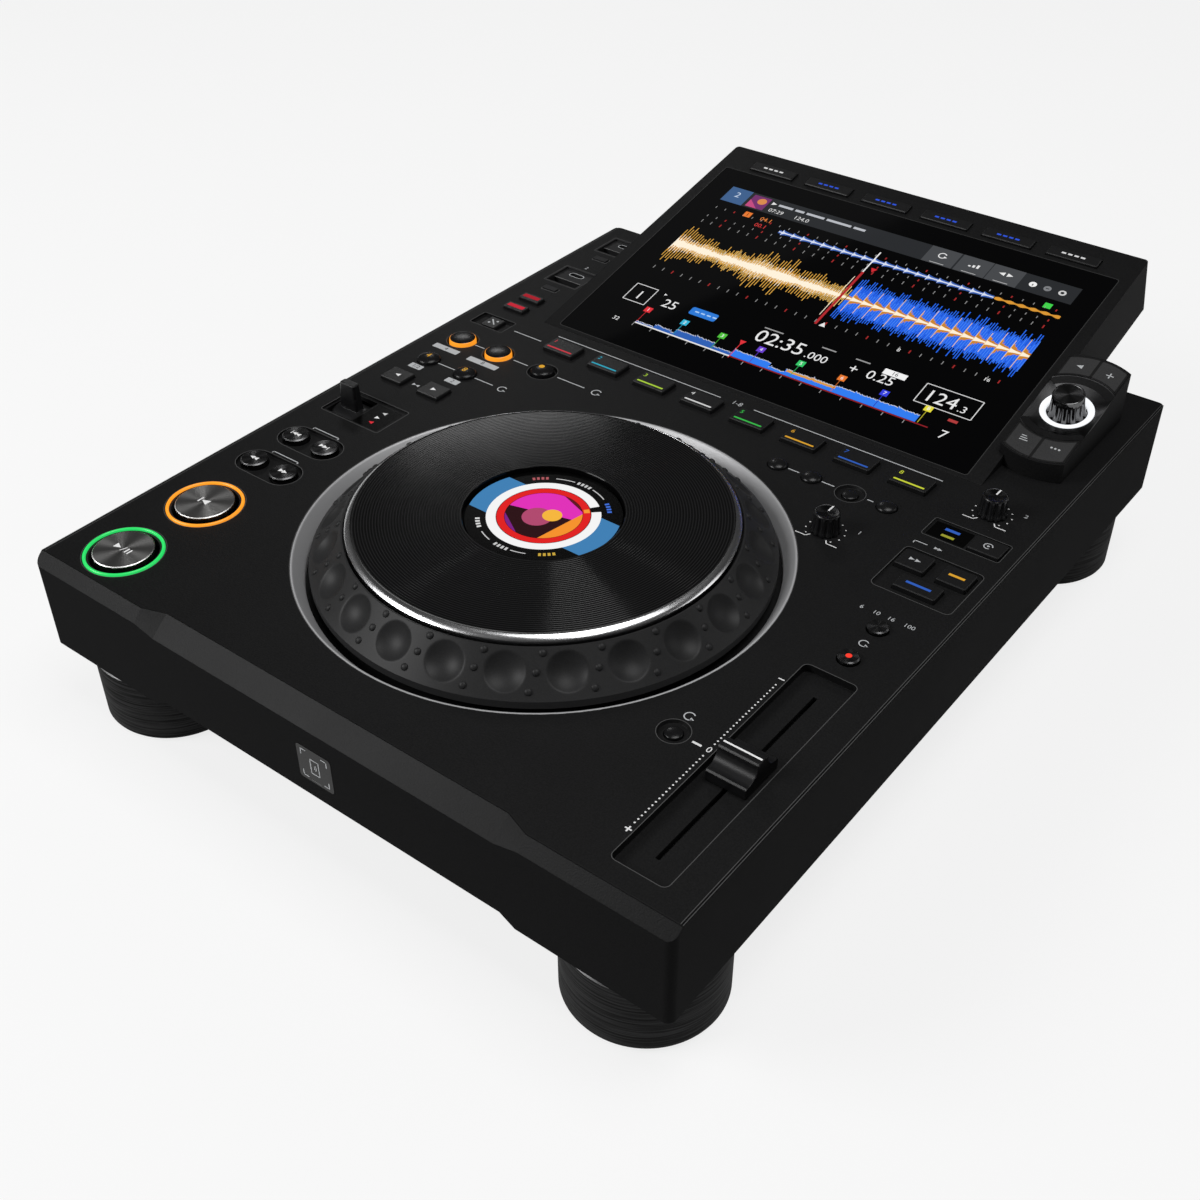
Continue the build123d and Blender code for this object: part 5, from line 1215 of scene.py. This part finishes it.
# %% Marks that ride on the keys
RED, CYAN, LIME, GREEN = "c83a46", "2f9fb8", "a8cc3c", "38b44a"
AMBER, BLUE, YELLOW, BRIGHT = "d9a02e", "2f5cb8", "c8d23a", "f2f2f2"
KEY_INK = 0.04
printed_marks = {
    "play_key": play_pause(0.4, 0, 3.4, BRIGHT),
    "cue_key": [box_patch(-2.9, -1.8, -2.2, 1.8, BRIGHT), arrow(0.3, 0, 4.0, -1, BRIGHT)],
    "track_search_back_key": skip(0.5, 0, 2.6, -1, BRIGHT),
    "track_search_forward_key": skip(-0.5, 0, 2.6, 1, BRIGHT),
    "search_back_key": skip(0, 0, 2.6, -1, BRIGHT, bar=False),
    "search_forward_key": skip(0, 0, 2.6, 1, BRIGHT, bar=False),
    "beat_jump_back_key": [arrow(0, 0, 2.8, -1, BRIGHT)],
    "beat_jump_forward_key": [arrow(0, 0, 2.8, 1, BRIGHT)],
    "loop_delete_key": [
        line((-2.2, 2.2), (2.2, -2.2), 0.7, PALE), dot(-1.7, -1.5, 0.7, PALE), dot(1.7, 1.5, 0.7, PALE),
    ],
    "jog_mode_key": [arc(1.6, 2.1, 0, 300, PALE), dot(0, 0, 0.6, PALE)],
    "beat_sync_key": [arrow(x, 0, 2.4, 1, PALE) for x in (-1.3, 1.5)],
}
lit_marks = {
    "beat_loop_4_key": [figures("4", 0, 0, 3.4, AMBER)],
    "beat_loop_8_key": [figures("8", 0, 0, 3.4, AMBER)],
    "reloop_key": [dot(-0.6, 0.4, 1.5, AMBER, 0.0, 24)],
    "master_tempo_key": [dot(0, 0, 1.3, "ff4030", 0.0, 24)],
    "slip_key": [patch(rounded(5.2, 1.5, 0.3), "a81c2a")],
    "quantize_key": [patch(rounded(5.2, 1.5, 0.3), "c42436")],
    "master_key": [box_patch(-3.6, -0.7, 3.6, 0.7, AMBER)],
    "key_sync_key": [box_patch(-5.6, -0.7, 5.6, 0.7, BLUE)],
}
for number, tint in enumerate((RED, CYAN, LIME, "d0d0d0", GREEN, AMBER, BLUE, YELLOW), 1):
    bar = patch(rounded(7.6, 0.55, 0.3) + (0, -3.6), tint)
    lit_marks[f"hot_cue_{number}_key"] = [bar, figures(str(number), -6.8, 2.2, 2.7, tint)]
for marks, finish in ((printed_marks, printed), (lit_marks, lit_mark)):
    for name, shapes in marks.items():
        piece(name + "_mark", name, key_top(name), [shape.moved(0, 0, KEY_INK) for shape in shapes], finish)
print("key marks", len(printed_marks) + len(lit_marks))

# %% [markdown]
# ## Lit windows, fader and front pad
# Two dark windows beside the lever and the jog-mode key show which mode is on. The fader's cap has a
# bright line across its bar, which the eye sets against the zero of the scale. The front pad has
# corner marks that show where a phone or a card is held.

# %% Windows, front pad and fader
PAD_INK = 0.14
windows = [
    patch(rounded(7.8, 9.1, 0.8) + (-127.45, 167.25), out=-0.77),
    patch(rounded(8.9, 5.7, 0.6) + (132.0, 247.1), out=-0.67),
]
piece("mode_windows", "deck", DECK, windows, window_black)
signs = [
    arrow(-127.4, 171.9, 2.6, -1, "c8c8c8", -0.74), arrow(-127.4, 167.2, 2.6, 1, "e4e4e4", -0.74),
    arrow(-127.4, 162.6, 2.6, -1, "e02f3a", -0.74),
    patch(rounded(3.4, 0.9, 0.3) + (132.0, 249.4), BLUE, -0.64),
    patch(rounded(3.0, 0.8, 0.3) + (132.0, 244.6), "9a9a30", -0.64),
]
piece("mode_signs", "deck", DECK, signs, lit_mark)

pad_marks = outline_box(-2.2, -3.6, 2.2, 3.6, 0.5, PALE, PAD_INK)
for x, y in ((-1, -1), (-1, 1), (1, -1), (1, 1)):
    pad_marks.append(box_patch(x * 6.8, y * 6.8 - 0.25, x * 4.0, y * 6.8 + 0.25, PALE, PAD_INK))
    pad_marks.append(box_patch(x * 6.8 - 0.25, y * 6.8, x * 6.8 + 0.25, y * 4.0, PALE, PAD_INK))
pad_marks += [arc(radius, radius + 0.4, -50, 50, PALE, PAD_INK).moved(-0.9, 0) for radius in (0.7, 1.5)]
pad_marks.append(box_patch(-2.6, -7.8, 2.6, -7.3, "5a5a5a", PAD_INK))
piece("reader_marks", "deck", FRONT.moved(0, -25.2), pad_marks, printed)

cap_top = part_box("tempo_fader")[1].z / MM - DECK_Z
fader_line = box_patch(-8.1, -0.42, 8.1, 0.42, "f4f4f4", PRINT)
piece("fader_line", "tempo_fader", DECK.moved(139.5, 76.0, cap_top), [fader_line], printed)
print("windows, pad and fader line ready")

# %% Marks on the display's and the browser's keys
TOP_KEY_XS = 0.8 + (np.arange(6) - 2.5) * 35.75
DARK = (0.0015, 0.0015, 0.0015)
BROWSER_KEY_TOP = 4.86
top_marks = []
for x, tint in zip(TOP_KEY_XS, ("d8d8d8", *["2f55d8"] * 4, "d8d8d8")):
    top_marks += boxes([(x - 6.5 + 3.4 * n, 165.5, x - 4.2 + 3.4 * n, 166.7, tint) for n in range(4)], 1.24)
piece("screen_key_marks", "deck", SLOPE, top_marks, lit_mark)
browser_marks = [arrow(-7.4, 28.0, 3.0, -1, PALE), *[dot(x, -27.2, 0.55, PALE) for x in (5.6, 7.4, 9.2)]]
browser_marks += boxes([
    (5.6, 27.6, 9.2, 28.2, PALE), (7.1, 26.1, 7.7, 29.7, PALE),
    *[(-9.4, -28.6 + 1.4 * n, -5.4 - 0.8 * n, -28.1 + 1.4 * n, PALE) for n in range(3)],
])
piece("browser_key_marks", "deck", BROWSER.moved(0, 0, BROWSER_KEY_TOP + 0.04), browser_marks, printed)
# The seams round each pair of browser keys: two arcs, the line between the keys and their outer ends.
# The outer arc is bowed about a middle of its own.
seams = []
for side, bow in ((-1, -8.08), (1, 7.18)):
    middle = side * 90
    seams.append(arc(28.5, 29.37, middle - 29.5, middle + 29.5, DARK).moved(0, bow))
    seams.append(arc(22.8, 23.5, middle - 39.3, middle + 39.3, DARK))
    seams.append(box_patch(-0.7, side * 23.0, 0.7, bow + side * 29.0, DARK))
    seams += boxes([(x - 0.4, side * 17.8, x + 0.4, side * 33.2, DARK) for x in (-14.05, 14.05)])
piece("browser_key_seams", "deck", BROWSER.moved(0, 0, BROWSER_KEY_TOP + 0.02), seams, printed)
print("marks on the display's and the browser's keys ready")

# %% [markdown]
# ## Fasteners and sockets
# The case is screwed together from below, and the phono sockets have bright sleeves and coloured
# cores, which the CAD model leaves plain. A screw is a turned head with a six-sided recess, whose
# walls are the same kind of profile turned in only six steps.

# %% Screws and phono sockets
UNDER = Place((0, FRONT_Y, DECK_Z - 46.1), (-1, 0, 0), (0, 1, 0))
CASE_SCREWS = [(x, back) for x in (-150.0, 150.0) for back in (85.0, 200.0, 320.0)]
CASE_SCREWS += [(0.0, back) for back in (30.0, 200.0, 374.0)]
REAR_SCREWS = [(-152.0, -12.0), (152.0, -12.0), (0.0, -12.0), (-98.0, -34.0), (18.0, -34.0)]
PHONO_HEIGHT = -24.0
PHONO_SOCKETS = [
    ("white", "1", 76.0, "d8d8d8"), ("red", "2", 96.0, "b01c20"), ("orange", "3", 116.0, "d0641c"),
]


def screw(x, y, radius):
    """A low round head with a rim, and in it a six-sided recess with a flat floor."""
    rim = lathe([(radius * 0.52, 0.7), (radius * 0.85, 0.65), (radius, 0.4), (radius, -0.2)], 36)
    recess = lathe([(0, 0.08), (radius * 0.52, 0.08), (radius * 0.52, 0.7)], 6)
    return [rim.moved(x, y), recess.moved(x, y)]


# Seen from below and from behind, x runs the other way.
for name, place, spots, radius in (
    ("case_screws", UNDER, CASE_SCREWS, 2.9), ("rear_screws", REAR, REAR_SCREWS, 2.4),
):
    piece(name, "deck", place, [part for x, y in spots for part in screw(-x, y, radius)], black_metal)

sleeve = [
    (3.35, 8.4), (3.35, 9.0), (3.5, 9.15), (3.95, 9.15), (4.25, 8.9), (4.25, 1.1), (6.0, 1.1), (6.0, 0.9),
]
jack_core = [(1.7, 8.9), (3.0, 8.9), (3.3, 8.6), (3.3, 7.0)]
sleeves = [lathe(sleeve, 48).moved(-x, PHONO_HEIGHT) for _, _, x, _ in PHONO_SOCKETS]
piece("phono_sleeves", "deck", REAR, sleeves, tin_plate)
for name, _, x, tint in PHONO_SOCKETS:
    core = lathe(jack_core, 40).moved(-x, PHONO_HEIGHT)
    core_finish = smooth("phono_" + name, hue(tint), 0.4, 0.005, specular=0.4)
    piece("phono_core_" + name, "deck", REAR, [core], core_finish)
rear_signs = [arrow(-40.0, -11.5, 2.4, 1, PALE, PRINT), arrow(-36.6, -11.5, 2.4, -1, PALE, PRINT)]
rear_signs += numbers([(number, -x, -14.0, 2.6, PALE) for _, number, x, _ in PHONO_SOCKETS], PRINT)
rear_signs += numbers([("ON", 76.0, -15.6, 2.4, PALE), ("OFF", 76.0, -32.6, 2.4, PALE)], PRINT)
piece("rear_print", "deck", REAR, rear_signs, printed)
print("screws and sockets ready")

# %% [markdown]
# ## Studio
# A pale floor and soft light. The white of the floor is its own colour: rays that go straight from
# the camera, or are mirrored by the deck, see it a little brighter, while its shadow stays. The sky
# is a dark grey that keeps black gloss black, and white only where the camera looks straight at it.
# A left, a top and a dim right lamp give the edges their shine. Two cards hang where the display's
# glass and the wheel's plate mirror them, and so show their gloss.


# %% Floor, sky and lamps
def studio_floor():
    """One square, far larger than the view, whose paper-white is mixed with a steady glow."""
    half = 6.0
    mesh = bpy.data.meshes.new("floor")
    corners = [(-half, -half, 0), (half, -half, 0), (half, half, 0), (-half, half, 0)]
    mesh.from_pydata(corners, [], [(0, 1, 2, 3)])
    floor = bpy.data.objects.new("floor", mesh)
    bpy.context.scene.collection.objects.link(floor)
    paper = Finish("floor_paper", roughness=0.9, Specular_IOR_Level=0.1)
    paper.set(Base_Color=paper.noise(120.0).blend((0.79, 0.79, 0.79), (0.82, 0.82, 0.82)))
    glow = paper.node("ShaderNodeEmission", {}, {"Color": (1.0, 1.0, 1.0), "Strength": 1.0})
    seen = paper.node("ShaderNodeLightPath", output="Is Camera Ray")
    for kind in ("Is Glossy Ray", "Is Transmission Ray"):
        seen = seen.math("MAXIMUM", paper.node("ShaderNodeLightPath", output=kind))
    shader = Wire(paper, paper.shader.outputs[0])
    mixed = paper.node("ShaderNodeMixShader", {}, {0: seen * 0.8, 1: shader, 2: glow})
    paper.feed(paper.tree.nodes["Material Output"].inputs["Surface"], mixed)
    mesh.materials.append(paper.material)


def soft_lamp(name, place, target, size, power, turn=0.0):
    """A rectangular lamp of some size in metres that looks at a target, turned about its own axis."""
    data = bpy.data.lights.new(name, "AREA")
    data.shape = "RECTANGLE"
    data.size, data.size_y = size
    data.energy = power
    shine = bpy.data.objects.new(name, data)
    shine.location = place
    aim = (Vector(target) - Vector(place)).to_track_quat("-Z", "Y")
    shine.rotation_euler = (aim @ Quaternion((0, 0, 1), radians(turn))).to_euler()
    bpy.context.scene.collection.objects.link(shine)


def sky(dark, white):
    """A world that lights the deck with a dark grey, and that the camera itself sees white."""
    world = bpy.data.worlds.new("sky")
    world.use_nodes = True
    nodes, links = world.node_tree.nodes, world.node_tree.links
    sight = nodes.new("ShaderNodeLightPath")
    shade = nodes.new("ShaderNodeMix")
    shade.data_type = "RGBA"
    shade.inputs[6].default_value, shade.inputs[7].default_value = (*grey(dark), 1.0), (*grey(white), 1.0)
    links.new(sight.outputs["Is Camera Ray"], shade.inputs[0])
    links.new(shade.outputs[2], nodes["Background"].inputs["Color"])
    bpy.context.scene.world = world


studio_floor()
sky(0.045, 0.92)
soft_lamp("left_lamp", (-1.15, -1.35, 1.25), (0, -0.05, 0.05), (1.0, 0.8), 25.0)
soft_lamp("top_lamp", (0.5, 0.0, 2.0), (0, 0, 0.05), (1.2, 1.2), 22.0)
soft_lamp("right_lamp", (1.35, 1.15, 0.9), (0, 0, 0.08), (0.9, 0.6), 2.5)
soft_lamp("screen_card", (-1.08, 1.31, 1.5), (-1.08, 1.31, 0), (0.5, 1.0), 0.1, -39.5)
soft_lamp("wheel_card", (-1.84, 1.82, 1.5), (-1.84, 1.82, 0), (0.7, 0.46), 5.0, -33.5)
bpy.context.scene.view_settings.view_transform = "Standard"
print("studio ready")
